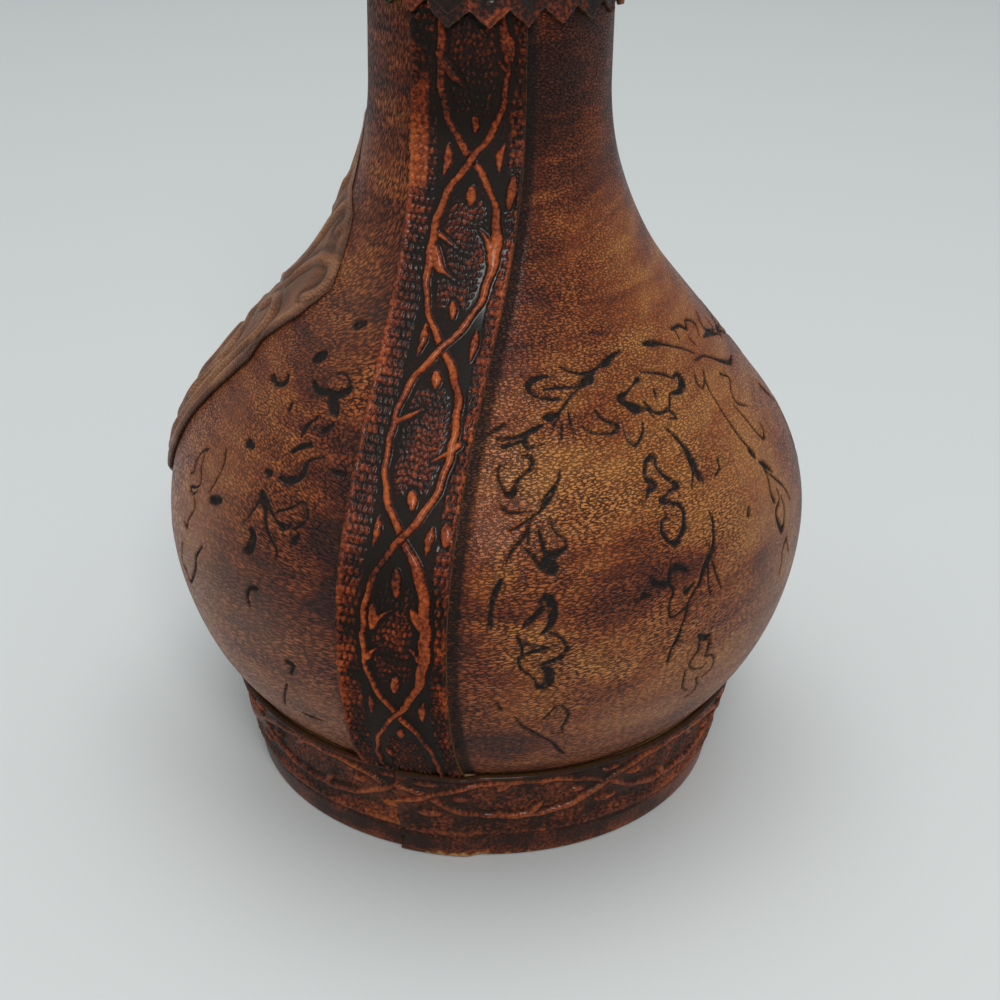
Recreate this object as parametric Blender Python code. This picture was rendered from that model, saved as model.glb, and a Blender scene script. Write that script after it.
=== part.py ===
"""A glass decanter wrapped in leather, with a stopper that lifts out.

Metres, +Z up. The origin is the centre of the foot's underside. The strap over one panel
seam lies at +X, the other at -X, and the raised crest is on the front, at -Y.
"""

import math

import bmesh
import bpy

# Driving dimensions

# Clearance between touching pieces
GAP = 0.0003

# Outline of the leather's outside, turned about Z
GLOBE_RADIUS = 0.0750
GLOBE_HEIGHT = 0.0655  # of the widest place
SHOULDER_CURVE = 0.0426  # radius of the arc above it
SHOULDER_SLOPE = math.radians(39.0)  # of the straight shoulder, from upright
NECK_CURVE = 0.0706  # radius of the hollow arc that runs into the neck
NECK_RADIUS = 0.0260
NECK_LENGTH = 0.0470  # of the straight neck, up to the mouth

# Leather and straps
LEATHER = 0.0015
SEAM_ANGLE = math.radians(1.3)  # open seam between the two panels, under a strap
PANEL_TUCK = 0.0015  # how far a panel runs down behind the foot band
STRAP_WIDTH = 0.0235
STRAP_THICK = 0.0015

# Foot
FOOT_HEIGHT = 0.0263
FOOT_BOTTOM_RADIUS = 0.0570
BAND_THICK = 0.0015
BAND_SEAM = math.radians(-2.5)  # where the band's outer end stops, from +X
BAND_LAP = 0.0120  # how far that end covers the other
BASE_THICK = 0.0020
RING_BORE = 0.0340

# Glass
GLASS_WALL = 0.0040
NECK_WALL = 0.0047
GLASS_BASE = 0.0095  # height of the glass's own standing ring
GLASS_FOOT_RADIUS = 0.0308  # of that ring
GLASS_FLOOR = 0.0045
PUNT_RADIUS = 0.0260
PUNT_HEIGHT = 0.0100
LIP_ROUND = 0.0012
CORNER_SHARE = 0.3  # of a round corner, how far its middle point stands in

# Mouth and collar
BINDING_HEIGHT = 0.0080  # of the lip ring below the mouth
BINDING_TOP = 0.0018  # above the mouth
BINDING_THICK = 0.0038
BINDING_ROLL = 0.0011  # round of its outer edges
BINDING_SET_BACK = 0.0020  # of its bore from the glass's bore
COLLAR_WIDTH = 0.0235
COLLAR_THICK = 0.0015
COLLAR_TEETH = 21
COLLAR_TOOTH = 0.0034

# Crest
CREST_FOOT = 0.0600  # height of its lower tip
CREST_HEIGHT = 0.0990
CREST_HALF_WIDTH = 0.0320
CREST_THICK = 0.0018
CREST_RIB = 0.0010
CREST_RIB_INSIDE = 0.75  # share of the half width where the edge's rib begins
CREST_BOSS = 0.35  # share of the half width that the raised middle takes
# Half its outline: share of the height, share of the half width
CREST_OUTLINE = (
    (0.00, 0.04),
    (0.04, 0.30),
    (0.12, 0.66),
    (0.22, 0.82),
    (0.36, 0.84),
    (0.46, 0.92),
    (0.50, 0.84),
    (0.58, 0.97),
    (0.65, 1.00),
    (0.72, 0.82),
    (0.79, 0.66),
    (0.83, 0.42),
    (0.90, 0.30),
    (0.97, 0.22),
    (1.00, 0.04),
)

# Stopper
CORK_LENGTH = 0.0260
CORK_TAPER = 0.0014
TENON_RADIUS = 0.0060
TENON_LENGTH = 0.0160
WASHER_RADIUS = 0.0300
WASHER_THICK = 0.0020
WASHER_TEETH = 24
WASHER_TOOTH = 0.0024
KNOB_RADIUS = 0.0205
KNOB_NECK_RADIUS = 0.0120
KNOB_RISE = 0.0220  # of the ball's centre above the washer
KNOB_LEATHER = 0.0012
KNOB_BAND_WIDTH = 0.0130
KNOB_BAND_THICK = 0.0012
ROSETTE_RADIUS = 0.0110
ROSETTE_THICK = 0.0012
ROSETTE_TEETH = 16
ROSETTE_TOOTH = 0.0016

# Fineness of the solids
SEGMENTS = 40
BELLY_STEPS = 5
SHOULDER_STEPS = 4
NECK_STEPS = 5
PUNT_STEPS = 4
BALL_STEPS = 8
STRAP_COLUMNS = 5
CREST_COLUMNS = 14
CREST_ROWS = 26
CREST_ROW_MERGE = 0.4  # share of a row below which it joins its neighbour
TOOTH_COLUMNS = 4
LAP_STEPS = 3
ROSETTE_RINGS = 4

# Heights and radii that follow from them
GLASS_OUT = -(LEATHER + GAP)  # offset of the glass's outside from the outline
GLASS_IN = GLASS_OUT - GLASS_WALL
BELLY_REACH = GLOBE_RADIUS + GLASS_OUT - GLASS_FOOT_RADIUS
BELLY_DROP = GLOBE_HEIGHT - GLASS_BASE
# Radius of the arc from the widest place down to the glass's standing ring
BELLY_CURVE = (BELLY_REACH**2 + BELLY_DROP**2) / (2 * BELLY_REACH) - GLASS_OUT
BELLY_CENTRE = GLOBE_RADIUS - BELLY_CURVE
SHOULDER_CENTRE = GLOBE_RADIUS - SHOULDER_CURVE
NECK_CENTRE = NECK_RADIUS + NECK_CURVE
SLOPE_TOP_RADIUS = NECK_CENTRE - NECK_CURVE * math.cos(SHOULDER_SLOPE)
SLOPE_FOOT_RADIUS = SHOULDER_CENTRE + SHOULDER_CURVE * math.cos(SHOULDER_SLOPE)
SLOPE_FOOT_HEIGHT = GLOBE_HEIGHT + SHOULDER_CURVE * math.sin(SHOULDER_SLOPE)
SLOPE_RISE = (SLOPE_FOOT_RADIUS - SLOPE_TOP_RADIUS) / math.tan(SHOULDER_SLOPE)
NECK_START = SLOPE_FOOT_HEIGHT + SLOPE_RISE + NECK_CURVE * math.sin(SHOULDER_SLOPE)
MOUTH = NECK_START + NECK_LENGTH
MOUTH_FACE = MOUTH + BINDING_TOP
COLLAR_TOP = MOUTH - BINDING_HEIGHT - GAP
COLLAR_FOOT = COLLAR_TOP - COLLAR_WIDTH
PANEL_FOOT = FOOT_HEIGHT - PANEL_TUCK
BORE_RADIUS = NECK_RADIUS + GLASS_OUT - NECK_WALL
BINDING_BORE = BORE_RADIUS + BINDING_SET_BACK
WASHER_FOOT = MOUTH_FACE + GAP
KNOB_FOOT = WASHER_FOOT + WASHER_THICK + GAP
KNOB_CENTRE = KNOB_FOOT + KNOB_RISE
COVER_OUT = GAP + KNOB_LEATHER


def arc(centre_r, centre_z, radius, start, end, steps):
    """Points (radius, height) along an arc, both ends included."""
    angles = [start + (end - start) * i / steps for i in range(steps + 1)]
    return [(centre_r + radius * math.cos(a), centre_z + radius * math.sin(a)) for a in angles]


def belly_angle(height, offset):
    """How far down the belly's arc this height lies, as an angle from the widest place."""
    return math.asin((GLOBE_HEIGHT - height) / (BELLY_CURVE + offset))


def belly_radius(height, offset=0.0):
    return BELLY_CENTRE + (BELLY_CURVE + offset) * math.cos(belly_angle(height, offset))


def outline(offset, foot, top):
    """The decanter's outline, moved outwards by offset, from height foot up to height top."""
    low = -belly_angle(foot, offset)
    hollow = math.pi + SHOULDER_SLOPE
    belly = arc(BELLY_CENTRE, GLOBE_HEIGHT, BELLY_CURVE + offset, low, 0.0, BELLY_STEPS)
    bulge = SHOULDER_CURVE + offset
    shoulder = arc(SHOULDER_CENTRE, GLOBE_HEIGHT, bulge, 0.0, SHOULDER_SLOPE, SHOULDER_STEPS)
    neck = arc(NECK_CENTRE, NECK_START, NECK_CURVE - offset, hollow, math.pi, NECK_STEPS)
    return belly + shoulder[1:] + neck + [(NECK_RADIUS + offset, top)]


def band_radius(height, offset=0.0):
    """Inside of the foot band, which widens from the floor to the panels."""
    top = belly_radius(FOOT_HEIGHT) + GAP
    bottom = FOOT_BOTTOM_RADIUS - BAND_THICK
    return bottom + (top - bottom) * height / FOOT_HEIGHT + offset


def material(name, colour, roughness, metallic=0.0, glass=False):
    made = bpy.data.materials.new(name)
    made.use_nodes = True
    shader = made.node_tree.nodes["Principled BSDF"]
    shader.inputs["Base Color"].default_value = (*colour, 1.0)
    shader.inputs["Roughness"].default_value = roughness
    shader.inputs["Metallic"].default_value = metallic
    if glass:
        shader.inputs["Transmission Weight"].default_value = 1.0
    return made


def finish(name, bm, look, parent=None):
    """Turns the mesh into a named object. Its origin is its parent's."""
    bmesh.ops.recalc_face_normals(bm, faces=bm.faces)
    mesh = bpy.data.meshes.new(name)
    bm.to_mesh(mesh)
    bm.free()
    mesh.shade_smooth()
    mesh.set_sharp_from_angle(angle=math.radians(35.0))
    mesh.materials.append(look)
    made = bpy.data.objects.new(name, mesh)
    bpy.context.scene.collection.objects.link(made)
    made.parent = parent
    return made


def turned(name, section, look, start=0.0, sweep=2 * math.pi, parent=None):
    """A closed section of (radius, height) points, turned about Z."""
    bm = bmesh.new()
    verts = [bm.verts.new((r * math.cos(start), r * math.sin(start), z)) for r, z in section]
    ends = zip(verts, verts[1:] + verts[:1])
    on_axis = {v for v, (r, z) in zip(verts, section) if r == 0.0}
    edges = [bm.edges.new(pair) for pair in ends if not on_axis.issuperset(pair)]
    whole = sweep > 2 * math.pi - 1e-6
    bmesh.ops.spin(
        bm,
        geom=verts + edges,
        cent=(0, 0, 0),
        axis=(0, 0, 1),
        angle=sweep,
        steps=round(SEGMENTS * sweep / (2 * math.pi)),
        use_merge=whole,
    )
    bmesh.ops.remove_doubles(bm, verts=bm.verts, dist=1e-6)
    if not whole:
        open_edges = [e for e in bm.edges if e.is_boundary]
        bmesh.ops.holes_fill(bm, edges=open_edges, sides=0)
    return finish(name, bm, look, parent)


def sheet(name, rows, look, ring=False, parent=None):
    """A closed sheet. Each row is a list of (inside point, outside point)."""
    bm = bmesh.new()
    inside = [[bm.verts.new(a) for a, b in row] for row in rows]
    outside = [[bm.verts.new(b) for a, b in row] for row in rows]
    columns = len(rows[0])
    spans = [(j, (j + 1) % columns) for j in range(columns if ring else columns - 1)]
    for grid in (inside, outside):
        for low, high in zip(grid, grid[1:]):
            for j, k in spans:
                bm.faces.new((low[j], low[k], high[k], high[j]))
    for i in (0, len(rows) - 1):
        for j, k in spans:
            bm.faces.new((inside[i][j], inside[i][k], outside[i][k], outside[i][j]))
    if not ring:
        for i in range(len(rows) - 1):
            for j in (0, columns - 1):
                bm.faces.new((inside[i][j], inside[i + 1][j], outside[i + 1][j], outside[i][j]))
    return finish(name, bm, look, parent)


def polar(radius, angle, height):
    return (radius * math.cos(angle), radius * math.sin(angle), height)


def make_glass(look):
    """Blown bottle: outside up to the lip, down the bore, round the inside and over the punt."""
    outside = outline(GLASS_OUT, GLASS_BASE, MOUTH - LIP_ROUND)
    neck_out = NECK_RADIUS + GLASS_OUT
    bend = LIP_ROUND * CORNER_SHARE
    lip = [
        (neck_out - bend, MOUTH - bend),
        (neck_out - LIP_ROUND, MOUTH),
        (BORE_RADIUS + LIP_ROUND, MOUTH),
        (BORE_RADIUS + bend, MOUTH - bend),
        (BORE_RADIUS, MOUTH - LIP_ROUND),
    ]
    floor_height = GLASS_BASE + GLASS_FLOOR
    inside = outline(GLASS_IN, floor_height, MOUTH)[:-2]
    bore_foot = [(BORE_RADIUS, NECK_START)]
    ring_radius = min(PUNT_RADIUS, belly_radius(floor_height, GLASS_IN) - GLASS_FLOOR)
    curve = (ring_radius**2 + PUNT_HEIGHT**2) / (2 * PUNT_HEIGHT)
    reach = math.asin(ring_radius / curve)

    def dome(foot, bulge):
        tops = [reach * i / PUNT_STEPS for i in range(PUNT_STEPS + 1)]
        sides = curve + bulge
        centre = foot + PUNT_HEIGHT - curve
        return [(sides * math.sin(a), centre + sides * math.cos(a)) for a in tops]

    upper_floor = dome(GLASS_BASE, GLASS_FLOOR)[::-1]
    under_floor = dome(GLASS_BASE, 0.0)
    section = outside + lip + bore_foot + inside[::-1] + upper_floor + under_floor
    return turned("glass_bottle", section, look)


def make_foot(wood, leather, embossed):
    """Wooden ring under the glass, the leather disc below it and the embossed band round both."""
    cradle = GLASS_OUT + GAP
    top = PANEL_FOOT - GAP
    bore_angle = math.acos((RING_BORE - BELLY_CENTRE) / (BELLY_CURVE + cradle))
    rim_angle = belly_angle(top, cradle)
    seat = arc(BELLY_CENTRE, GLOBE_HEIGHT, BELLY_CURVE + cradle, -rim_angle, -bore_angle, BELLY_STEPS)
    ring_foot = BASE_THICK + GAP
    section = [(RING_BORE, ring_foot), (band_radius(ring_foot, -GAP), ring_foot)]
    section += [(band_radius(top, -GAP), top)] + seat
    turned("foot_ring", section, wood)
    rim = band_radius(0.0, -GAP)
    turned("base_disc", [(0.0, 0.0), (rim, 0.0), (rim, BASE_THICK), (0.0, BASE_THICK)], leather)

    lap = BAND_LAP / FOOT_BOTTOM_RADIUS
    step = BAND_THICK + GAP
    lifted = lap + step / FOOT_BOTTOM_RADIUS
    once_round = 2 * math.pi + lap - lifted
    places = [(BAND_SEAM + lifted * i / LAP_STEPS, step) for i in range(LAP_STEPS + 1)]
    places += [(BAND_SEAM + lifted + once_round * i / SEGMENTS, 0.0) for i in range(1, SEGMENTS + 1)]
    rows = []
    for height in (GAP, FOOT_HEIGHT):
        row = []
        for angle, lift in places:
            inner = band_radius(height, lift)
            row.append((polar(inner, angle, height), polar(inner + BAND_THICK, angle, height)))
        rows.append(row)
    sheet("foot_band", rows, embossed)


def make_panels(look):
    """Two leather halves that meet under the straps."""
    out = outline(0.0, PANEL_FOOT, MOUTH)
    inner = outline(-LEATHER, PANEL_FOOT, MOUTH)
    for name, start in (("back_panel", 0.0), ("front_panel", math.pi)):
        turned(name, out + inner[::-1], look, start + SEAM_ANGLE / 2, math.pi - SEAM_ANGLE)


def make_straps(look):
    """Embossed strips over the seams, from the foot band up to the lip ring."""
    low = outline(GAP, FOOT_HEIGHT + GAP, COLLAR_TOP)
    high = outline(GAP + STRAP_THICK, FOOT_HEIGHT + GAP, COLLAR_TOP)
    across = [STRAP_WIDTH * (j / STRAP_COLUMNS - 0.5) for j in range(STRAP_COLUMNS + 1)]
    for name, middle in (("right_strap", 0.0), ("left_strap", math.pi)):
        rows = []
        for (r_in, z_in), (r_out, z_out) in zip(low, high):
            angles = [middle + x / r_in for x in across]
            rows.append([(polar(r_in, a, z_in), polar(r_out, a, z_out)) for a in angles])
        sheet(name, rows, look)


def make_collar(look):
    """Embossed strip round the neck with a pinked lower edge. It rides over both straps."""
    columns = COLLAR_TEETH * TOOTH_COLUMNS
    step = 2 * math.pi / columns
    half_strap = STRAP_WIDTH / 2 / (NECK_RADIUS + GAP) + step
    rows = [[], [], []]
    for j in range(columns):
        angle = step * (j + 0.5)
        to_strap = abs((angle + math.pi / 2) % math.pi - math.pi / 2)
        ride = STRAP_THICK + GAP if to_strap < half_strap else 0.0
        inner = NECK_RADIUS + GAP + ride
        along = (j / TOOTH_COLUMNS) % 1.0
        tip = abs(2 * along - 1.0)
        for row, height in zip(
            rows, (COLLAR_FOOT + COLLAR_TOOTH * tip, COLLAR_FOOT + 2 * COLLAR_TOOTH, COLLAR_TOP)
        ):
            row.append((polar(inner, angle, height), polar(inner + COLLAR_THICK, angle, height)))
    sheet("neck_collar", rows, look, ring=True)


def make_lip_ring(look):
    """Leather rolled over the mouth. The stopper's washer rests on it."""
    inner = NECK_RADIUS + GAP
    outer = inner + BINDING_THICK
    foot = MOUTH - BINDING_HEIGHT
    roll = BINDING_ROLL
    section = [
        (inner, foot),
        (outer - roll, foot),
        (outer, foot + roll),
        (outer, MOUTH_FACE - 2 * roll),
        (outer - roll, MOUTH_FACE - roll / 2),
        (outer - 2 * roll, MOUTH_FACE),
        (BINDING_BORE, MOUTH_FACE),
        (BINDING_BORE, MOUTH + GAP),
        (inner, MOUTH + GAP),
    ]
    turned("lip_ring", section, look)


def crest_half_width(share):
    """Half the crest's width at this share of its height, straight between the outline's points."""
    for (low, a), (high, b) in zip(CREST_OUTLINE, CREST_OUTLINE[1:]):
        if share <= high:
            return CREST_HALF_WIDTH * (a + (b - a) * (share - low) / (high - low))
    return CREST_HALF_WIDTH * CREST_OUTLINE[-1][1]


def at_height(points, height):
    """Radius of an outline at this height."""
    for (r_low, z_low), (r_high, z_high) in zip(points, points[1:]):
        if height <= z_high:
            return r_low + (r_high - r_low) * (height - z_low) / (z_high - z_low)
    return points[-1][0]


def make_crest(look):
    """Raised leather cartouche on the front panel, with a rib round its edge and a raised middle."""
    seat = outline(GAP, PANEL_FOOT, MOUTH)
    step = CREST_HEIGHT / CREST_ROWS
    across = [math.sin(math.pi * (j / CREST_COLUMNS - 0.5)) for j in range(CREST_COLUMNS + 1)]
    knots = {share for share, width in CREST_OUTLINE}
    shares = sorted(knots | {i / CREST_ROWS for i in range(CREST_ROWS)})
    close = CREST_ROW_MERGE / CREST_ROWS
    shares = [a for a, b in zip(shares, shares[1:]) if b - a > close or a in knots] + [1.0]
    rows = []
    for share in shares:
        height = CREST_FOOT + CREST_HEIGHT * share
        radius = at_height(seat, height)
        lean = math.atan2(at_height(seat, height - step) - at_height(seat, height + step), 2 * step)
        row = []
        for x in across:
            angle = -math.pi / 2 + x * crest_half_width(share) / radius
            ribbed = CREST_RIB_INSIDE < abs(x) < 1.0 or abs(x) < CREST_BOSS
            thick = CREST_THICK + (CREST_RIB if ribbed and 0.0 < share < 1.0 else 0.0)
            top = polar(radius + thick * math.cos(lean), angle, height + thick * math.sin(lean))
            row.append((polar(radius, angle, height), top))
        rows.append(row)
    sheet("front_crest", rows, look)


def knob_outline(offset, foot, start, end, steps):
    """The knob's outline: its neck from height foot, then the ball between two angles."""
    ball = arc(0.0, KNOB_CENTRE, KNOB_RADIUS + offset, start, end, steps)
    return [(KNOB_NECK_RADIUS + offset, foot)] + ball


def neck_angle(offset):
    """Angle on the ball where the knob's neck meets it."""
    return -math.acos((KNOB_NECK_RADIUS + offset) / (KNOB_RADIUS + offset))


def make_rosette(look, lift):
    """Pinked leather disc on the top of the knob, bent to its round."""
    columns = ROSETTE_TEETH * 2
    seat = KNOB_RADIUS + COVER_OUT + GAP
    bm = bmesh.new()

    def pair(radius, angle):
        foot = KNOB_CENTRE + math.sqrt(seat**2 - radius**2)
        return [bm.verts.new(polar(radius, angle, foot + rise)) for rise in (0.0, ROSETTE_THICK)]

    middle = pair(0.0, 0.0)
    last = [middle] * columns
    for i in range(1, ROSETTE_RINGS + 1):
        radius = ROSETTE_RADIUS * i / ROSETTE_RINGS
        ring = []
        for j in range(columns):
            cut = ROSETTE_TOOTH if i == ROSETTE_RINGS and j % 2 else 0.0
            ring.append(pair(radius - cut, 2 * math.pi * j / columns))
        for j in range(columns):
            k = (j + 1) % columns
            for side in (0, 1):
                corners = [last[j][side], ring[j][side], ring[k][side], last[k][side]]
                bm.faces.new(corners[:3] if i == 1 else corners)
        last = ring
    for j in range(columns):
        k = (j + 1) % columns
        bm.faces.new((last[j][0], last[k][0], last[k][1], last[j][1]))
    return finish("stopper_rosette", bm, look, lift)


def make_stopper(cork, wood, leather, embossed, lift):
    """Cork, turned knob and its leather, all carried by the empty that lifts along Z."""
    cork_top = BORE_RADIUS - GAP
    cork_high = WASHER_FOOT - GAP
    cork_low = cork_high - CORK_LENGTH
    hole = TENON_RADIUS + GAP
    hole_foot = cork_high - TENON_LENGTH - GAP
    section = [
        (0.0, cork_low),
        (cork_top - CORK_TAPER, cork_low),
        (cork_top, cork_high),
        (hole, cork_high),
        (hole, hole_foot),
        (0.0, hole_foot),
    ]
    turned("stopper_cork", section, cork, parent=lift)

    tenon_foot = cork_high - TENON_LENGTH
    core = [(0.0, tenon_foot), (TENON_RADIUS, tenon_foot), (TENON_RADIUS, KNOB_FOOT)]
    core += knob_outline(0.0, KNOB_FOOT, neck_angle(0.0), math.pi / 2, BALL_STEPS)[:-1]
    turned("stopper_core", core + [(0.0, KNOB_CENTRE + KNOB_RADIUS)], wood, parent=lift)

    columns = WASHER_TEETH * 2
    rows = [[], []]
    for j in range(columns):
        angle = 2 * math.pi * j / columns
        cut = WASHER_TOOTH if j % 2 else 0.0
        for row, radius in zip(rows, (hole, WASHER_RADIUS - cut)):
            row.append((polar(radius, angle, WASHER_FOOT), polar(radius, angle, WASHER_FOOT + WASHER_THICK)))
    sheet("stopper_washer", rows, leather, ring=True, parent=lift)

    half_gap = GAP / 2 / KNOB_RADIUS
    half_steps = BALL_STEPS // 2
    low_out = knob_outline(COVER_OUT, KNOB_FOOT, neck_angle(COVER_OUT), -half_gap, half_steps)
    low_in = knob_outline(GAP, KNOB_FOOT, neck_angle(GAP), -half_gap, half_steps)
    turned("stopper_lower_cover", low_out + low_in[::-1], leather, parent=lift)
    top_out = arc(0.0, KNOB_CENTRE, KNOB_RADIUS + COVER_OUT, half_gap, math.pi / 2, half_steps + 1)
    top_in = arc(0.0, KNOB_CENTRE, KNOB_RADIUS + GAP, half_gap, math.pi / 2, half_steps + 1)
    poles = [(0.0, KNOB_CENTRE + KNOB_RADIUS + COVER_OUT), (0.0, KNOB_CENTRE + KNOB_RADIUS + GAP)]
    turned("stopper_upper_cover", top_out[:-1] + poles + top_in[:-1][::-1], leather, parent=lift)

    band_in = KNOB_RADIUS + COVER_OUT + GAP
    reach = KNOB_BAND_WIDTH / 2 / band_in
    out = arc(0.0, KNOB_CENTRE, band_in + KNOB_BAND_THICK, -reach, reach, 4)
    back = arc(0.0, KNOB_CENTRE, band_in, reach, -reach, 4)
    turned("stopper_band", out + back, embossed, parent=lift)

    make_rosette(embossed, lift)


def main():
    for old in list(bpy.data.objects):
        bpy.data.objects.remove(old, do_unlink=True)
    panel_leather = material("panel_leather", (0.29, 0.10, 0.035), 0.42)
    strap_leather = material("embossed_leather", (0.27, 0.06, 0.02), 0.36)
    sole_leather = material("sole_leather", (0.42, 0.21, 0.09), 0.7)
    glass = material("glass", (0.75, 0.85, 0.78), 0.05, glass=True)
    wood = material("turned_wood", (0.45, 0.28, 0.14), 0.6)
    cork = material("cork", (0.62, 0.42, 0.25), 0.85)

    make_glass(glass)
    make_foot(wood, sole_leather, strap_leather)
    make_panels(panel_leather)
    make_straps(strap_leather)
    make_crest(panel_leather)
    make_collar(strap_leather)
    make_lip_ring(panel_leather)

    lift = bpy.data.objects.new("stopper_lift_axis", None)
    bpy.context.scene.collection.objects.link(lift)
    make_stopper(cork, wood, panel_leather, strap_leather, lift)


main()
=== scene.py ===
import math

import bmesh
import bpy
import numpy as np
from mathutils import Euler, Matrix, Vector


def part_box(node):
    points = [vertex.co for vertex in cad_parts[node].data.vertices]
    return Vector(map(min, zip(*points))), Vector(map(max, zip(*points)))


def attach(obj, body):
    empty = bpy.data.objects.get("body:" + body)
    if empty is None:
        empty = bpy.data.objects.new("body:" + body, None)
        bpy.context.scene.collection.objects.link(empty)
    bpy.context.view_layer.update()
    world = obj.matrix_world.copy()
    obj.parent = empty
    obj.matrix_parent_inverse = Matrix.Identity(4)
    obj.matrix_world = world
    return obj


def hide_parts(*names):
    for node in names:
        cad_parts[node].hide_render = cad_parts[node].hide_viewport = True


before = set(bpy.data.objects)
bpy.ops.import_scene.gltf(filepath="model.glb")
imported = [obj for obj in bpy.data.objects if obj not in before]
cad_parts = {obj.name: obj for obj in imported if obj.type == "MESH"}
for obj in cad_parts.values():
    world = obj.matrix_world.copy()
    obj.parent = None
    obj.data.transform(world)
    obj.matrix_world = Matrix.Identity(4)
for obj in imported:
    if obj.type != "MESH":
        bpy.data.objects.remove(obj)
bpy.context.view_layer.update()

# Camera
# It looks down on the decanter from the side of the strap, a little towards the back panel.
# The decanter's axis stands just left of the middle of the picture.

CAMERA_BEARING = math.radians(13.8)
CAMERA_DISTANCE = 0.3637
CAMERA_HEIGHT = 0.2553
CAMERA_DIP = math.radians(27.94)
CAMERA_ROLL = math.radians(0.53)
CAMERA_NEAREST = 0.01
FOCAL_LENGTH_IN_WIDTHS = 1.7
AXIS_IN_PICTURE = 0.4862


def out_at(bearing, distance, height):
    """A place at this distance from the decanter's axis, in metres."""
    return Vector((distance * math.cos(bearing), distance * math.sin(bearing), height))


camera = bpy.data.objects.new("camera", bpy.data.cameras.new("camera"))
bpy.context.scene.collection.objects.link(camera)
camera.data.lens = camera.data.sensor_width * FOCAL_LENGTH_IN_WIDTHS
camera.data.shift_x = 0.5 - AXIS_IN_PICTURE
camera.data.clip_start = CAMERA_NEAREST
standing = Matrix.Translation(out_at(CAMERA_BEARING, CAMERA_DISTANCE, CAMERA_HEIGHT))
looking = Euler((math.pi / 2 - CAMERA_DIP, 0.0, math.pi / 2 + CAMERA_BEARING)).to_matrix().to_4x4()
camera.matrix_world = standing @ looking @ Matrix.Rotation(CAMERA_ROLL, 4, "Z")
bpy.context.scene.camera = camera

# Table and light
# A matt pale table top in a dim pale room. A wide soft light hangs over and behind the
# decanter, so its shadow falls softly towards the camera, and a weaker lamp stands behind the
# camera and makes the leather shine.

TABLE_SIZE = 6.0
TABLE_PARTS = 12
TABLE_COLOUR = (0.70, 0.73, 0.725, 1.0)
TABLE_ROUGHNESS = 0.75
ROOM_COLOUR = (0.93, 0.97, 1.0, 1.0)
ROOM_STRENGTH = 0.37
AIMED_AT = Vector((0.0, 0.0, 0.10))
LAMP_BEARING = CAMERA_BEARING + math.radians(6.0)
LAMP_RISE = math.radians(40.0)
LAMP_DISTANCE = 1.1
LAMP_SIZE = (0.34, 0.30)
LAMP_POWER = 4.4
LAMP_COLOUR = (1.0, 0.985, 0.96)
OVERHEAD_SIZE = (1.6, 1.6)
OVERHEAD_HEIGHT = 1.6
OVERHEAD_BEHIND = 0.24
OVERHEAD_POWER = 13.0


def set_inputs(tree, node, inputs):
    """Sets each input of a node to a value, or links it to another node's output."""
    for name, value in inputs.items():
        if isinstance(value, bpy.types.NodeSocket):
            tree.links.new(value, node.inputs[name])
        else:
            node.inputs[name].default_value = value


def dress(tree, shader, **inputs):
    """Sets the shader's inputs. An underscore stands for a space in an input's name."""
    set_inputs(tree, shader, {name.replace("_", " "): value for name, value in inputs.items()})


def new_finish(name, **inputs):
    """A material, its nodes and its shader, with what is the same all over set on the shader."""
    made = bpy.data.materials.new(name)
    made.use_nodes = True
    shader = made.node_tree.nodes["Principled BSDF"]
    dress(made.node_tree, shader, **inputs)
    return made, made.node_tree, shader


def soft_lamp(name, size, power, place):
    data = bpy.data.lights.new(name, "AREA")
    data.shape = "RECTANGLE"
    data.size, data.size_y = size
    data.energy = power
    made = bpy.data.objects.new(name, data)
    bpy.context.scene.collection.objects.link(made)
    made.location = place
    return made


bpy.ops.mesh.primitive_grid_add(x_subdivisions=TABLE_PARTS, y_subdivisions=TABLE_PARTS, size=TABLE_SIZE)
table = bpy.context.active_object
table.name = "table_top"
table.data.materials.append(new_finish("table_top", Base_Color=TABLE_COLOUR, Roughness=TABLE_ROUGHNESS)[0])

room = bpy.data.worlds.new("room")
room.use_nodes = True
room_light = room.node_tree.nodes["Background"]
set_inputs(room.node_tree, room_light, {"Color": ROOM_COLOUR, "Strength": ROOM_STRENGTH})
bpy.context.scene.world = room
bpy.context.scene.view_settings.view_transform = "Standard"

lamp_place = AIMED_AT + LAMP_DISTANCE * out_at(LAMP_BEARING, math.cos(LAMP_RISE), math.sin(LAMP_RISE))
lamp = soft_lamp("lamp", LAMP_SIZE, LAMP_POWER, lamp_place)
lamp.data.color = LAMP_COLOUR
lamp.rotation_euler = (AIMED_AT - lamp_place).to_track_quat("-Z", "Y").to_euler()
overhead_place = out_at(CAMERA_BEARING, -OVERHEAD_BEHIND, OVERHEAD_HEIGHT)
soft_lamp("overhead", OVERHEAD_SIZE, OVERHEAD_POWER, overhead_place)

# Glass bottle
# Blown in a mould: a round body, a long neck and a pushed-up base. The leather hides all of it
# but the mouth. Lengths are in millimetres, and the outline is that of the leather over it.

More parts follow.
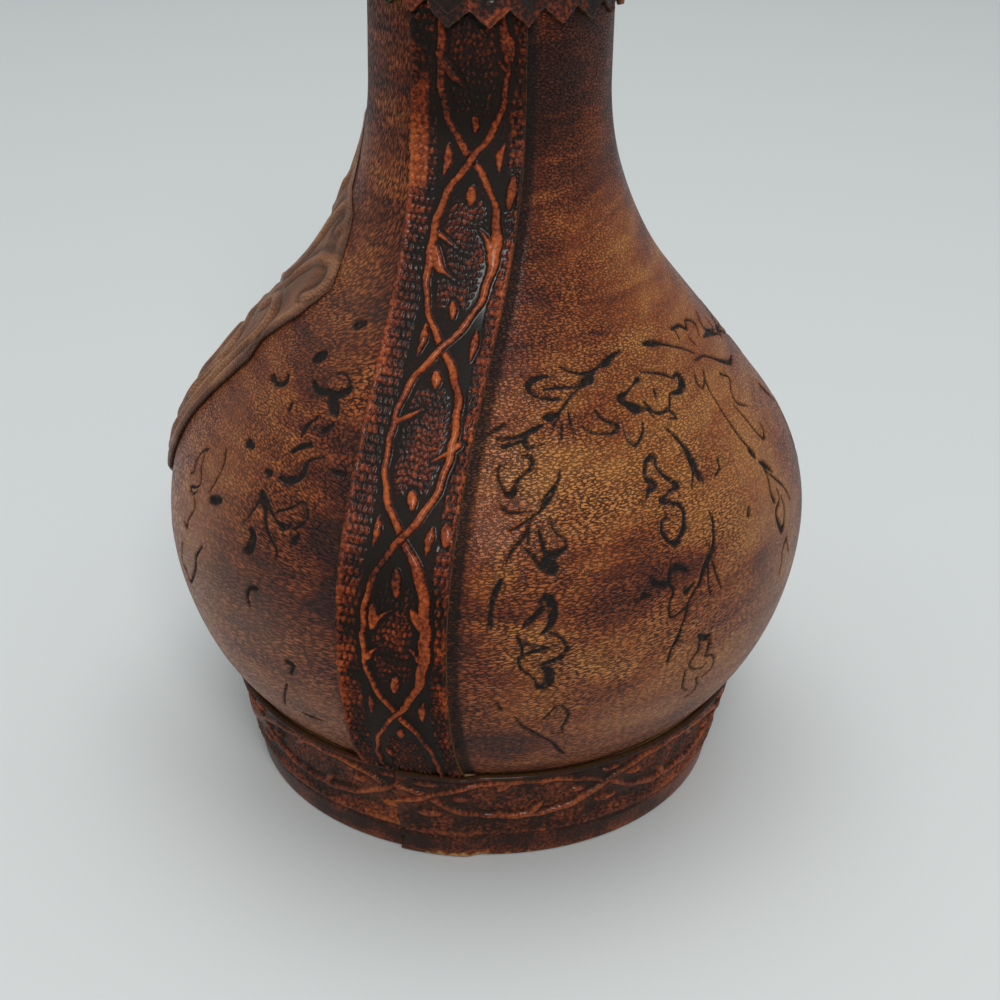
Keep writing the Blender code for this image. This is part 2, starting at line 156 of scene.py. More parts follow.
MM = 0.001
CLEARANCE = 0.3  # between pieces that touch
GLOBE_RADIUS = 75.0
GLOBE_HEIGHT = 65.5  # of the widest place
BELLY_CURVE = 59.98
SHOULDER_CURVE = 42.6
SHOULDER_SLOPE = math.radians(39.0)
NECK_CURVE = 70.6
NECK_RADIUS = 26.0
OUTLINE_STEP = math.radians(0.2)
LEATHER = 1.5
GLASS_WALL = 4.0
GLASS_BORE = 19.5
GLASS_FLOOR = 4.5
GLASS_SEGMENTS = 72
LIP_ROUND = 1.2
PUNT_RADIUS = 26.0
PUNT_HEIGHT = 10.0
GLASS_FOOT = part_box("glass_bottle")[0].z / MM
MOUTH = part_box("glass_bottle")[1].z / MM
GLASS_TINT = (0.93, 0.965, 0.95, 1.0)
GLASS_RIPPLE = 0.0004


def outline(offset, foot, top):
    """The leather's outside, moved outwards by offset: radius, height and lean of its normal."""
    belly = np.arange(-math.asin((GLOBE_HEIGHT - foot) / (BELLY_CURVE + offset)), 0.0, OUTLINE_STEP)
    shoulder = np.arange(0.0, SHOULDER_SLOPE, OUTLINE_STEP)
    neck = np.arange(SHOULDER_SLOPE, 0.0, -OUTLINE_STEP)
    shoulder_centre = GLOBE_RADIUS - SHOULDER_CURVE
    slope_foot = shoulder_centre + SHOULDER_CURVE * math.cos(SHOULDER_SLOPE)
    slope_top = NECK_RADIUS + NECK_CURVE * (1.0 - math.cos(SHOULDER_SLOPE))
    rise = (slope_foot - slope_top) / math.tan(SHOULDER_SLOPE)
    neck_start = GLOBE_HEIGHT + rise + (SHOULDER_CURVE + NECK_CURVE) * math.sin(SHOULDER_SLOPE)
    belly_curve, shoulder_curve = BELLY_CURVE + offset, SHOULDER_CURVE + offset
    neck_curve = NECK_CURVE - offset
    radius = (
        GLOBE_RADIUS - BELLY_CURVE + belly_curve * np.cos(belly),
        shoulder_centre + shoulder_curve * np.cos(shoulder),
        NECK_RADIUS + NECK_CURVE - neck_curve * np.cos(neck),
        [NECK_RADIUS + offset, NECK_RADIUS + offset],
    )
    height = (
        GLOBE_HEIGHT + belly_curve * np.sin(belly), GLOBE_HEIGHT + shoulder_curve * np.sin(shoulder),
        neck_start - neck_curve * np.sin(neck), [neck_start, top],
    )
    return np.concatenate(radius), np.concatenate(height), np.concatenate([belly, shoulder, neck, [0.0, 0.0]])


def add_piece(name, mesh, look, marks):
    """Shows a smooth mesh with its marks: one number, or one place, for each point."""
    for mark_name, values in marks.items():
        values = np.asarray(values, np.float32)
        flat = values.size == len(mesh.vertices)
        layer = mesh.attributes.new(mark_name, "FLOAT" if flat else "FLOAT_VECTOR", "POINT")
        layer.data.foreach_set("value" if flat else "vector", values.ravel())
    mesh.shade_smooth()
    mesh.materials.append(look)
    made = bpy.data.objects.new(name, mesh)
    bpy.context.scene.collection.objects.link(made)
    return made


def make_piece(name, points, faces, look, marks):
    """A named piece from points in metres."""
    mesh = bpy.data.meshes.new(name)
    mesh.from_pydata(points.reshape(-1, 3).tolist(), [], faces)
    return add_piece(name, mesh, look, marks)


def round_axis(radius, angle, height):
    return np.stack([radius * np.cos(angle), radius * np.sin(angle), height + 0.0 * angle], -1)


def quads(index, after, closed):
    """Faces between each row of points and the row after it. Closed rows are loops."""
    if closed:
        corners = (index, after, np.roll(after, -1, 1), np.roll(index, -1, 1))
    else:
        corners = (index[:, :-1], after[:, :-1], after[:, 1:], index[:, 1:])
    return np.stack(corners, -1).reshape(-1, 4).tolist()


def turned(name, section, segments, look):
    """A solid of revolution. Its section, (radius, height) in mm, is a loop, or runs from axis to axis."""
    section = np.asarray(section, float)
    open_ends = section[0, 0] == 0.0 and section[-1, 0] == 0.0
    ring = section[1:-1] if open_ends else section
    angle = np.linspace(0.0, 2.0 * math.pi, segments, endpoint=False)[:, None]
    points = round_axis(ring[:, 0], angle, ring[:, 1]).reshape(-1, 3)
    index = np.arange(len(points)).reshape(segments, len(ring))
    after = np.roll(index, -1, 0)
    faces = quads(index, after, not open_ends)
    if open_ends:
        first, last = len(points), len(points) + 1
        points = np.vstack([points, [(0.0, 0.0, section[0, 1]), (0.0, 0.0, section[-1, 1])]])
        faces += [(first, b, a) for a, b in zip(index[:, 0].tolist(), after[:, 0].tolist())]
        faces += [(last, a, b) for a, b in zip(index[:, -1].tolist(), after[:, -1].tolist())]
    return make_piece(name, points * MM, faces, look, {"lay": points})


def make_bottle(look):
    wall = LEATHER + CLEARANCE
    lip_height = MOUTH - LIP_ROUND
    outside = np.stack(outline(-wall, GLASS_FOOT, lip_height)[:2], -1)[::5].tolist()
    lip = []
    for radius, side in ((NECK_RADIUS - wall - LIP_ROUND, 0.0), (GLASS_BORE + LIP_ROUND, 90.0)):
        for a in np.radians(np.linspace(side, side + 90.0, 5)):
            lip.append((radius + LIP_ROUND * math.cos(a), lip_height + LIP_ROUND * math.sin(a)))
    radius, height = outline(-wall - GLASS_WALL, GLASS_FOOT + GLASS_FLOOR, MOUTH)[:2]
    inside = [(GLASS_BORE, height[-2])] + np.stack([radius[:-2], height[:-2]], -1)[::-6].tolist()
    curve = (PUNT_RADIUS**2 + PUNT_HEIGHT**2) / (2 * PUNT_HEIGHT)
    sweep = np.linspace(math.asin(PUNT_RADIUS / curve), 0.0, 12)
    centre = GLASS_FOOT + PUNT_HEIGHT - curve
    domes = (curve, curve + GLASS_FLOOR)
    under, upper = ([(r * math.sin(a), centre + r * math.cos(a)) for a in sweep] for r in domes)
    section = [(0.0, under[-1][1])] + under[-2::-1] + outside + lip + inside
    section += upper[:-1] + [(0.0, upper[-1][1])]
    return turned("blown_bottle", section, GLASS_SEGMENTS, look)


def add_node(tree, kind, inputs, **settings):
    """A node whose inputs are numbers, colours or the outputs of other nodes."""
    made = tree.nodes.new("ShaderNode" + kind)
    for name, value in settings.items():
        setattr(made, name, value)
    set_inputs(tree, made, inputs)
    return made


def noise(tree, vector, scale, detail=3.0, roughness=0.5, distortion=0.0):
    inputs = {"Vector": vector, "Scale": scale, "Detail": detail, "Roughness": roughness}
    return add_node(tree, "TexNoise", {**inputs, "Distortion": distortion}).outputs["Fac"]


def bump(tree, shader, height, depth, socket="Normal"):
    """Presses this height pattern, in metres of depth, into the surface."""
    made = add_node(tree, "Bump", {"Height": height, "Distance": depth, "Strength": 1.0})
    set_inputs(tree, shader, {socket: made.outputs["Normal"]})


glass_look, glass_tree, glass_shader = new_finish(
    "blown_glass", Base_Color=GLASS_TINT, Transmission_Weight=1.0, Roughness=0.02, IOR=1.5
)
glass_place = add_node(glass_tree, "TexCoord", {}).outputs["Object"]
bump(glass_tree, glass_shader, noise(glass_tree, glass_place, 70.0, 2.0), GLASS_RIPPLE)
bottle = make_bottle(glass_look)
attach(bottle, "decanter")
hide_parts("glass_bottle")

# Foot ring and base disc
# The bottle's round base stands in a turned wooden ring, and a disc of sole leather is glued
# below it. The foot band hides the ring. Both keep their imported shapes.

WOOD_COLOURS = ((0.34, (0.33, 0.18, 0.08)), (0.66, (0.52, 0.33, 0.17)))
WOOD_STREAKS = (900.0, 60.0, 900.0)
SOLE_COLOURS = ((0.34, (0.24, 0.11, 0.045)), (0.66, (0.44, 0.24, 0.11)))
SOLE_STREAKS = (900.0, 900.0, 300.0)


def mark(tree, name, output="Fac"):
    return add_node(tree, "Attribute", {}, attribute_name=name).outputs[output]


def stretch(tree, vector, scale):
    return add_node(tree, "Mapping", {"Vector": vector, "Scale": scale}).outputs["Vector"]


def colour_ramp(tree, value, stops):
    ramp = add_node(tree, "ValToRGB", {"Fac": value})
    band = ramp.color_ramp
    for _ in stops[2:]:
        band.elements.new(0.5)
    for element, (place, colour) in zip(band.elements, stops):
        element.position = place
        element.color = (*colour, 1.0)
    return ramp.outputs["Color"]


def grained(name, scale, colours, roughness, depth):
    """Wood or raw leather: streaks of two colours, with the same streaks pressed into the surface."""
    look, tree, shader = new_finish(name, Roughness=roughness, Specular_IOR_Level=0.3)
    place = add_node(tree, "TexCoord", {}).outputs["Object"]
    streaks = noise(tree, stretch(tree, place, scale), 1.0, 6.0, 0.62, 0.4)
    dress(tree, shader, Base_Color=colour_ramp(tree, streaks, colours))
    bump(tree, shader, streaks, depth)
    return look


wood_look = grained("turned_beech", WOOD_STREAKS, WOOD_COLOURS, 0.6, 0.0002)
sole_look = grained("sole_leather", SOLE_STREAKS, SOLE_COLOURS, 0.8, 0.0003)
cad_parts["foot_ring"].material_slots[0].material = wood_look
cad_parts["base_disc"].material_slots[0].material = sole_look

# Front and back panels
# Two halves of thin calf leather, moulded wet over the glass and glued. Flowers are pressed
# into it with hot tools and inked. Lengths on the leather are in millimetres: along the
# outline from height ALONG_FROM upwards, and round the decanter from the right strap.

SEAM_ANGLE = math.radians(1.3)
PANEL_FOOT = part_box("front_panel")[0].z / MM
ALONG_FROM = 24.0
PANEL_CELL = 1.5
TOOLED_REACHES = (2.4, 1.1)  # the mesh is halved this near the tooled lines, once for each
TOOLED_DEPTH = 0.42
TOOLED_BURR = 0.10
FLOWER_REACH = 26.0
STRAP_WIDTH = 23.5
STRAP_GROOVE = 2.2
GROOVE_DEPTH = 0.26
UNEVEN = 0.10
OUTSIDE = -9.0  # how far inside a line the points lie that are nowhere near it

LEATHER_OUTLINE = outline(0.0, ALONG_FROM, MOUTH + 20.0)
LEATHER_ALONG = np.append(0.0, np.cumsum(np.hypot(*np.diff(LEATHER_OUTLINE[:2], axis=1))))


def along_at(height):
    """Length along the leather's outline at this height."""
    return float(np.interp(height, LEATHER_OUTLINE[1], LEATHER_ALONG))


def radius_at(along):
    return np.interp(along, LEATHER_ALONG, LEATHER_OUTLINE[0])


def on_leather(along, angle, lift):
    """Points in metres, at a length along the outline, an angle and a lift off the leather."""
    height = np.interp(along, LEATHER_ALONG, LEATHER_OUTLINE[1])
    lean = np.interp(along, LEATHER_ALONG, LEATHER_OUTLINE[2])
    return round_axis(radius_at(along) + lift * np.cos(lean), angle, height + lift * np.sin(lean)) * MM


def ease(value, low, high):
    """0 below low, 1 above high, and a soft step between them."""
    share = np.clip((value - low) / (high - low), 0.0, 1.0)
    return share * share * (3.0 - 2.0 * share)


def bent_line(points, count):
    """A smooth line through given points, with their widths."""
    points = np.asarray(points, float)
    padded = np.vstack([2 * points[0] - points[1], points, 2 * points[-1] - points[-2]])
    t = np.linspace(0.0, 1.0, count, endpoint=False)[:, None]
    made = []
    for a, b, c, d in zip(padded, padded[1:], padded[2:], padded[3:]):
        bend = (2 * a - 5 * b + 4 * c - d) * t**2 + (3 * b - a - 3 * c + d) * t**3
        made.append(0.5 * (2 * b + (c - a) * t + bend))
    return np.vstack(made + [points[-1:]])


def line_depth(x, y, line):
    """How far inside an inked line each point lies, in mm: negative outside it."""
    best = np.full(x.shape, OUTSIDE)
    for (ax, ay, aw), (bx, by, bw) in zip(line, line[1:]):
        dx, dy = bx - ax, by - ay
        share = np.clip(((x - ax) * dx + (y - ay) * dy) / max(dx * dx + dy * dy, 1e-9), 0.0, 1.0)
        away = np.hypot(x - ax - share * dx, y - ay - share * dy)
        best = np.maximum(best, (aw + (bw - aw) * share) / 2 - away)
    return best


# Each flower is a few lines. A line is a list of points: right, up and width.
BELL = (
    ((0, 0, 0.5), (-2.3, -2, 0.7), (-3.2, -5, 0.7), (-2.4, -7.6, 0.9), (-1, -8.8, 1.6), (0.4, -9.6, 1.2)),
    ((0, 0, 0.5), (2.4, -2.2, 0.6), (3.5, -5.4, 0.7), (2.4, -7.6, 0.7), (0.6, -8.6, 1.6)),
    ((0.2, -0.6, 0.4), (0.3, -4.2, 0.7), (-0.8, -6.6, 0.7), (-1.4, -8, 1.3)),
    ((0, 0, 0.5), (-2.2, 0.4, 0.4), (-4.6, 2, 0.5)),
    ((0, 0, 0.5), (0.6, 3.2, 0.6), (2.6, 6, 1), (4.2, 8.4, 1.6), (5, 10.4, 0.4)),
    ((0, 0, 0.5), (-3, -3, 0.5), (-5.4, -7.5, 0.5), (-6.4, -11.5, 0.7)),
)
BUTTERFLY = (
    ((-1, 10, 1), (1.4, 9.4, 2), (2, 7, 1.4), (0.8, 4.6, 0.7), (3.8, 2.2, 0.9), (4.2, 0, 0.9),
     (1.6, -2.2, 0.8)),
    ((1.6, -2.2, 0.8), (0.4, -4.8, 1), (1.2, -7.6, 1.8), (0.2, -9.8, 2.6), (-1.8, -8.4, 1.2)),
    ((-1, 10, 1), (-2.6, 6.6, 0.7), (-1.2, 4.4, 0.6), (-4.4, 2, 0.7), (-4, -1.6, 0.7), (-2.8, -5.2, 0.7),
     (-1.8, -8.4, 1.2)),
    ((-4.4, 2, 0.5), (-1.6, 1.4, 0.5), (0.2, 2.6, 0.4)),
    ((1.6, -2.2, 0.5), (-0.6, -2.4, 0.5)),
)
OPEN_FLOWER = (
    ((-11, 0.5, 0.5), (-9, 3.2, 0.7), (-5, 4.2, 0.7), (-2.6, 2.2, 0.7), (-0.2, 4.4, 0.7), (4, 3.6, 0.8),
     (7.4, 1.6, 0.9)),
    ((7.4, 1.6, 0.9), (9.6, 1.8, 2.2), (10.8, 0, 1.4), (7.8, -1.4, 0.8), (4.6, -0.6, 0.6)),
    ((4.6, -0.6, 0.6), (3, -4, 0.6), (-1, -4.6, 0.6), (-4.8, -3.4, 0.6), (-6, -0.6, 0.6), (-11, 0.5, 0.5)),
    ((-1.6, 1.6, 0.5), (0.2, -0.4, 0.6), (2, 1.2, 0.5)),
    ((-11, 0.5, 1.2), (-13.6, 1.2, 2.4), (-15.4, -0.4, 1.4)),
    ((-13, 0.6, 0.9), (-15.8, -2.6, 0.7)),
)
SPRAY = (
    ((22, 8, 0.4), (16, 6.8, 1.8), (10, 3.8, 0.6), (4, 1.6, 0.6), (-2, -2.6, 0.7), (-6, -4.6, 1.9),
     (-12, -7.2, 0.7)),
    ((-12, -7.2, 0.7), (-17, -8, 2), (-22, -8.6, 0.6)),
    ((8.6, 3.4, 2.4), (5.6, 3.6, 1.6), (0, 5.2, 0.6), (-7, 5.6, 0.6), (-13, 3.4, 0.6)),
    ((-13, 3.4, 0.6), (-7, 1.4, 0.6), (0, 1.8, 0.6), (5.6, 3.2, 0.9)),
    ((-4, -4.4, 0.6), (-3.6, -8.6, 0.6)),
    ((-17, -8, 0.9), (-14, -4.2, 0.6)),
)
TWIG = (
    ((-7, 9, 0.9), (-6.4, 7, 0.5), (-3, 2.6, 0.6), (2, -1.8, 0.6), (5.6, -6.4, 0.8), (8.4, -10.4, 1.5)),
    ((2, 2, 0.6), (2.2, 5.6, 0.6), (4.6, 8, 0.6), (7, 5.6, 0.6), (6.2, 2.6, 0.6), (3.6, 1, 0.5)),
    ((-0.6, 0.6, 0.5), (2.6, 0.6, 0.6), (5, -0.6, 0.5)),
)
CRESCENT = (
    ((-2, 7.6, 0.4), (0.6, 4.4, 0.9), (2.2, 0, 2), (1, -5, 0.7), (0, -7, 0.4)),
)
TRAILER = (
    ((-22, 7, 0.5), (-17, 6.6, 1.7), (-10, 4.4, 0.6), (-2, 1.6, 0.6), (6, -2.4, 0.6), (14, -7.4, 0.8)),
    ((14, -7.4, 0.8), (19, -10, 1.8), (24, -9.4, 0.5)),
    ((-6, 3, 0.6), (-4, 6.6, 0.9), (0, 6.4, 0.6), (1.6, 4.6, 0.6), (4.4, 6.6, 0.6), (9, 5, 1.6),
     (7.6, 2.4, 0.8)),
    ((-6, 3, 0.6), (-3, 0.2, 0.5), (-7, -2.6, 0.9), (-8.6, -0.4, 0.5)),
)
BEAN = (
    ((3, 4, 0.6), (4.4, 1.4, 0.8), (2.4, -1.6, 1), (0.6, -3.8, 2), (-2.6, -3.2, 0.9), (-4.8, 0.4, 0.6)),
    ((3, 4, 0.6), (-0.4, 2.6, 0.5), (-2.6, 3.8, 0.6), (-4.8, 0.4, 0.6)),
    ((-3.4, -7, 1.4), (0.4, -6.2, 0.6), (4, -7.4, 0.5)),
)


# Where each flower of the far sides lies: drawing, degrees round from the right strap,
# millimetres along, turn in degrees, size and side (-1 is mirrored).
BACK_FLOWERS = (
    (SPRAY, 108, 92, 0, 0.95, -1), (BELL, 103, 68, -8, 1.1, -1), (BUTTERFLY, 104, 44, 0, 0.95, -1),
    (OPEN_FLOWER, 130, 90, 0, 0.95, -1), (BUTTERFLY, 127, 68, 0, 0.95, 1), (CRESCENT, 135, 76, 0, 1.0, -1),
    (BELL, 130, 46, 8, 1.05, 1), (TWIG, 128, 24, 0, 1.0, -1), (TRAILER, 155, 98, 0, 0.9, -1),
    (BUTTERFLY, 152, 74, 0, 0.95, -1), (BELL, 156, 54, -12, 1.0, -1), (BEAN, 158, 33, 0, 1.0, -1),
)
FRONT_FLOWERS = (
    (BUTTERFLY, -66, 34, 0, 0.9, 1), (BELL, -88, 26, 0, 1.0, 1), (TWIG, -110, 30, 0, 0.9, -1),
    (BUTTERFLY, -122, 45, 0, 0.9, 1), (SPRAY, -136, 82, 0, 0.75, -1), (BELL, -145, 60, -8, 1.0, -1),
    (BUTTERFLY, -157, 42, 0, 0.9, -1), (BEAN, -160, 66, 0, 1.0, 1), (TWIG, -152, 21, 0, 0.9, -1),
)

# The flowers beside the right strap are stamped more freely. A line here is a list of points:
# degrees round, millimetres along and width.
BACK_LINES = (
    ((21, 88.2, 0.5), (22.1, 88.1, 0.8), (23, 86.8, 1), (22.5, 85.4, 0.9), (21.1, 84.2, 0.8),
     (19.9, 83.2, 0.7), (19.3, 82.1, 0.8), (19, 80.9, 1.3), (18.2, 80.1, 1.5), (17.3, 80.7, 0.8),
     (16.6, 82.1, 0.6), (16.1, 83.8, 0.6), (16.1, 85.2, 0.5), (16.8, 86.4, 0.4), (17.4, 86.5, 0.3)),
    ((16.5, 77.9, 0.5), (17.5, 76.7, 0.7), (18.9, 76.4, 0.6), (20.6, 76.7, 0.4), (22, 76.7, 0.3)),
    ((28.3, 84.3, 0.5), (27.7, 82.6, 0.7), (26.3, 80.6, 1.2), (24.8, 78.6, 1.7), (23.7, 76.8, 0.6),
     (22.4, 75.8, 0.5), (21.1, 74.9, 0.5), (19, 73.4, 0.6), (17.8, 73, 0.4)),
    ((22.1, 75.8, 0.4), (21.4, 74, 0.5), (20.3, 71.5, 0.9), (18.6, 69.5, 0.8), (17.5, 67.5, 0.5),
     (17.1, 65.9, 0.3)),
    ((21.5, 74.2, 0.4), (21.2, 72.4, 0.5), (21, 70.1, 0.5)),
    ((20.5, 68.9, 0.6), (21.5, 67.7, 1.1), (22.3, 66.3, 1), (23.4, 64.6, 1.4)),
    ((23, 72.9, 0.7), (23.2, 70.8, 1), (23.6, 68.5, 1.1), (24.3, 67.3, 2.4), (24, 65.4, 3.2),
     (24.7, 64.5, 2.2), (25.3, 65.3, 1.2)),
    ((24.3, 67.3, 2.2), (25.7, 67.8, 1.4), (27.1, 68.6, 0.9), (27.5, 68.9, 0.5)),
    ((25.2, 75.1, 0.4), (25.4, 72.9, 0.5), (26.2, 71.4, 0.6), (27.3, 70.2, 0.5), (27.5, 68.7, 0.5)),
    ((16.3, 63.1, 0.9), (15.7, 61.5, 1.4), (15, 59.2, 1.2), (14.7, 56.8, 0.8), (14.5, 53.4, 1.3)),
    ((22.6, 58.2, 1), (23.5, 59.2, 1.8), (24.2, 58.1, 2.2), (24.4, 55.6, 2.2), (24.2, 53.8, 1.6),
     (23.1, 51.9, 0.9), (22.3, 51.2, 0.5)),
    ((22.8, 56.9, 1.4), (21.6, 55.4, 1.2), (20.5, 54.1, 1.4), (19.8, 53.3, 0.7)),
    ((23.1, 51.9, 0.6), (25, 50.9, 0.7), (26.2, 49.2, 0.9), (26.7, 47.7, 1), (25.8, 45.7, 1.2),
     (24, 44.7, 1.1), (22.6, 44, 1)),
    ((22.8, 43.9, 1.2), (23.9, 42.2, 2.2), (24.1, 40.5, 2.4), (23.4, 38.6, 1.9), (22.3, 38.4, 1.3),
     (21.8, 39.8, 0.8)),
    ((21.8, 40.2, 0.6), (20.7, 41.9, 0.7), (19.4, 43.6, 0.7), (19, 45.9, 0.7), (19.8, 46.7, 0.8),
     (21.4, 47.5, 0.8), (23, 47.9, 1), (23.8, 48.1, 0.5)),
    ((18.8, 51.2, 0.7), (19.2, 50, 1), (19.6, 47.6, 0.6), (19.2, 45.5, 0.6)),
    ((19.8, 49.4, 0.5), (21.3, 49, 0.5), (23.4, 48.3, 0.5)),
    ((23.3, 28.3, 0.4), (24.6, 30.6, 0.5), (25.6, 32.4, 0.6), (26.9, 31.7, 0.6), (27.8, 29.4, 0.8),
     (27.5, 26.9, 0.6), (27, 25.3, 0.5), (27.3, 23.3, 0.4), (25.4, 23, 0.4)),
    ((18.7, 30.2, 0.4), (20.1, 27, 0.6), (21.7, 25, 0.8), (23.9, 22.1, 0.6), (25.8, 19.6, 0.7),
     (27.7, 15.4, 1), (29.1, 12.8, 0.6)),
    ((15.8, 34.2, 0.9), (16.6, 32.3, 0.7)),
    ((51.2, 106.7, 0.5), (48.1, 106, 1.2), (45.3, 105, 1.8), (42.7, 104.4, 0.7), (40.2, 103.3, 1.6),
     (39.4, 102.2, 2.2), (37.6, 102.4, 0.9)),
    ((32.5, 106, 0.5), (34.9, 104.7, 0.6), (37.5, 103.9, 0.7), (40, 103.6, 0.9)),
    ((29, 104.2, 0.6), (26.3, 104.1, 1.2), (24.2, 103.2, 1.5), (23.7, 101.8, 1), (25.2, 100.3, 0.6),
     (27.3, 99.6, 0.7), (29.7, 99.2, 0.8), (31.1, 99.3, 0.4)),
    ((27.6, 101.5, 0.5), (30.5, 101.7, 0.9), (33.4, 101.3, 0.6), (35.7, 101.3, 0.5), (37.8, 101.9, 0.7)),
    ((39.7, 101.9, 0.8), (36.9, 101, 0.6), (34.1, 99.7, 0.5), (32.3, 98.2, 0.6), (30.2, 96.4, 0.7),
     (28.7, 95.6, 2.2), (26.9, 95.8, 1.3)),
    ((28.9, 94.9, 0.6), (28.3, 93, 0.4)),
    ((30.4, 94, 0.6), (29.6, 90.7, 0.4)),
    ((26.1, 94.2, 0.6), (24, 93.4, 1.3), (22.4, 92.7, 1.1), (20.4, 92.1, 0.8), (17.7, 91.7, 0.8),
     (16, 91.7, 0.6)),
    ((22.1, 92.3, 1), (21.9, 90.1, 1.1), (23.6, 89.8, 0.5), (25.9, 90.3, 0.3)),
    ((21.8, 91.3, 0.8), (19.6, 90.7, 0.9), (17.2, 90.1, 1.1)),
    ((17.6, 94.6, 0.9), (15.3, 93.4, 0.7), (13.8, 92.5, 0.8)),
    ((38.8, 95.8, 0.5), (39.9, 93.9, 0.7), (41.7, 92.5, 0.8), (43.2, 91.7, 1), (42.4, 90.6, 1),
     (40.7, 90.4, 0.7), (38.6, 90.8, 0.5), (36.3, 91.5, 0.5), (35, 92.7, 0.4)),
    ((32.5, 96.7, 0.4), (32.3, 94.5, 0.6), (32.3, 92.6, 0.6), (33.1, 91.5, 0.4)),
    ((54.7, 101.2, 0.4), (57.8, 100.1, 0.6), (61, 98.9, 0.7), (63.5, 97.3, 0.6), (65.7, 97.5, 1.1),
     (66.2, 96.5, 1.8), (65.5, 94.9, 2.2), (63, 94, 1.3), (60.6, 94.5, 0.7), (59.5, 93.4, 0.6),
     (58.3, 92, 0.7), (56, 91.5, 0.8), (54, 91.9, 0.8), (52.9, 93.3, 0.7), (52, 94.9, 0.6)),
    ((56.3, 96.5, 0.6), (55.9, 95, 0.7)),
    ((53, 99.9, 1.4), (51, 99, 0.5), (48.5, 97.9, 0.7), (46.3, 97, 2), (47.3, 95.5, 1.5),
     (48.8, 94.3, 2.4), (50.6, 93.6, 1.4), (52.1, 93.2, 0.7), (52.9, 91.4, 0.6)),
    ((57.8, 91.3, 0.6), (58.9, 89.3, 0.6), (56.5, 89.9, 0.5)),
    ((49.5, 90.9, 0.5), (48.6, 89, 0.6), (45.7, 86.7, 0.7), (44.3, 88.4, 0.4), (44.3, 90.8, 0.3)),
    ((73.6, 106.2, 0.9), (78.2, 105.7, 1), (80.7, 104, 0.9), (82.5, 105.2, 0.8), (85.1, 104.8, 0.6),
     (86.9, 102.9, 0.7), (84.6, 100.8, 0.5)),
    ((74.9, 105.8, 0.5), (74, 103.3, 0.4)),
    ((79, 102.2, 0.5), (79.8, 100, 0.4)),
    ((60.1, 106.3, 1.1), (62.7, 105.8, 1.7), (65.6, 104.9, 0.9), (69.2, 103.3, 0.6), (73.4, 101.3, 0.5),
     (77.1, 98.8, 0.4)),
    ((75.2, 97.6, 0.4), (80.1, 97, 0.6), (83.9, 94.8, 0.7), (87.1, 92.6, 1.1), (91.3, 90.3, 1.4),
     (95.4, 90.2, 0.5)),
    ((93.7, 103.8, 0.4), (91.1, 102, 0.6), (90.8, 100.1, 0.9), (97.1, 97.4, 0.6), (98.4, 99.7, 0.5)),
    ((71.8, 95.2, 0.5), (70.8, 93.4, 0.6), (72.1, 91.9, 0.5), (74.5, 93.2, 0.5), (76.1, 94.8, 0.4)),
    ((74.8, 93.4, 0.5), (73.8, 90.7, 0.6), (73.7, 86.7, 0.6), (73.7, 82.7, 0.6), (74, 78.4, 0.6),
     (75, 74.2, 1), (75.1, 73.2, 0.7)),
    ((82.2, 91.3, 0.8), (84.9, 89, 0.6), (81.5, 86.7, 0.5), (81, 84, 0.6), (84.3, 81.6, 0.4)),
    ((79, 84.3, 0.4), (80, 80.5, 0.6), (80.5, 77.4, 0.6), (81.6, 74.1, 0.8), (83.7, 74.6, 0.6),
     (84.6, 76.4, 0.4)),
    ((54.5, 88.4, 0.4), (55.8, 86.3, 0.9), (56.8, 83.8, 0.9), (57.3, 81.1, 1.8), (57.2, 78.6, 2),
     (57.1, 76.7, 1.4), (56.9, 75.6, 0.7)),
    ((56.8, 78.7, 0.9), (56, 76.9, 0.5), (54.4, 74.6, 0.4)),
    ((57.5, 78.2, 0.9), (57.8, 76.5, 0.7), (57.6, 74.4, 0.4)),
    ((64, 77.5, 0.6), (63.3, 75.6, 0.6), (61.3, 74.8, 0.5)),
    ((49.3, 83.3, 0.6), (48.2, 83.5, 1.5), (46.6, 82.7, 1.1), (45.7, 80.9, 1), (45.6, 79.2, 1.4),
     (46.6, 77.7, 1.7), (45, 76.9, 1.1), (44.3, 75.8, 0.6)),
    ((49, 83.1, 0.8), (48.6, 81.1, 0.9), (49.4, 79.1, 1), (50.7, 77.4, 1.4), (51.5, 76.1, 1.4),
     (49.6, 75.7, 0.8), (48.2, 74.9, 0.8), (46.9, 74.3, 1.3), (48.4, 73.3, 1.1), (50, 72.6, 1),
     (50.7, 70.8, 1), (50.3, 69, 1), (49.8, 67.4, 1.4), (48.4, 65.9, 1.1), (47.4, 65, 1.5),
     (45.9, 66, 0.9), (45.2, 67.9, 0.8), (45.6, 69.8, 0.7), (46.7, 70.6, 1)),
    ((56.3, 68.5, 0.5), (56.5, 66.8, 0.7), (56, 64.5, 0.8), (55.4, 62.2, 1), (54.4, 60.2, 1.4),
     (53, 58.7, 1.4), (51.7, 56.7, 1.1), (51, 55, 0.9), (49.6, 53.5, 0.7), (48.3, 51.4, 0.6),
     (47.6, 49, 0.6)),
    ((54.3, 58.2, 0.8), (54.7, 55.4, 0.6), (55.6, 52.1, 0.4)),
    ((53.2, 58.1, 0.6), (52.9, 54.6, 0.6), (53.1, 51.4, 0.4)),
    ((48.9, 58.3, 0.7), (47.6, 59.6, 1.4), (46.3, 60.3, 1.7), (45.2, 59.4, 1.2), (44.8, 57.6, 1),
     (43.4, 57.5, 1.4), (42, 58.3, 1.5), (41.5, 59.6, 0.9)),
    ((44.9, 56.8, 0.9), (45.5, 55.1, 0.7), (44.7, 53.1, 0.6), (44.4, 50, 0.5)),
    ((47.8, 55.2, 0.8), (48, 54.1, 1.2), (49.8, 55.5, 0.5)),
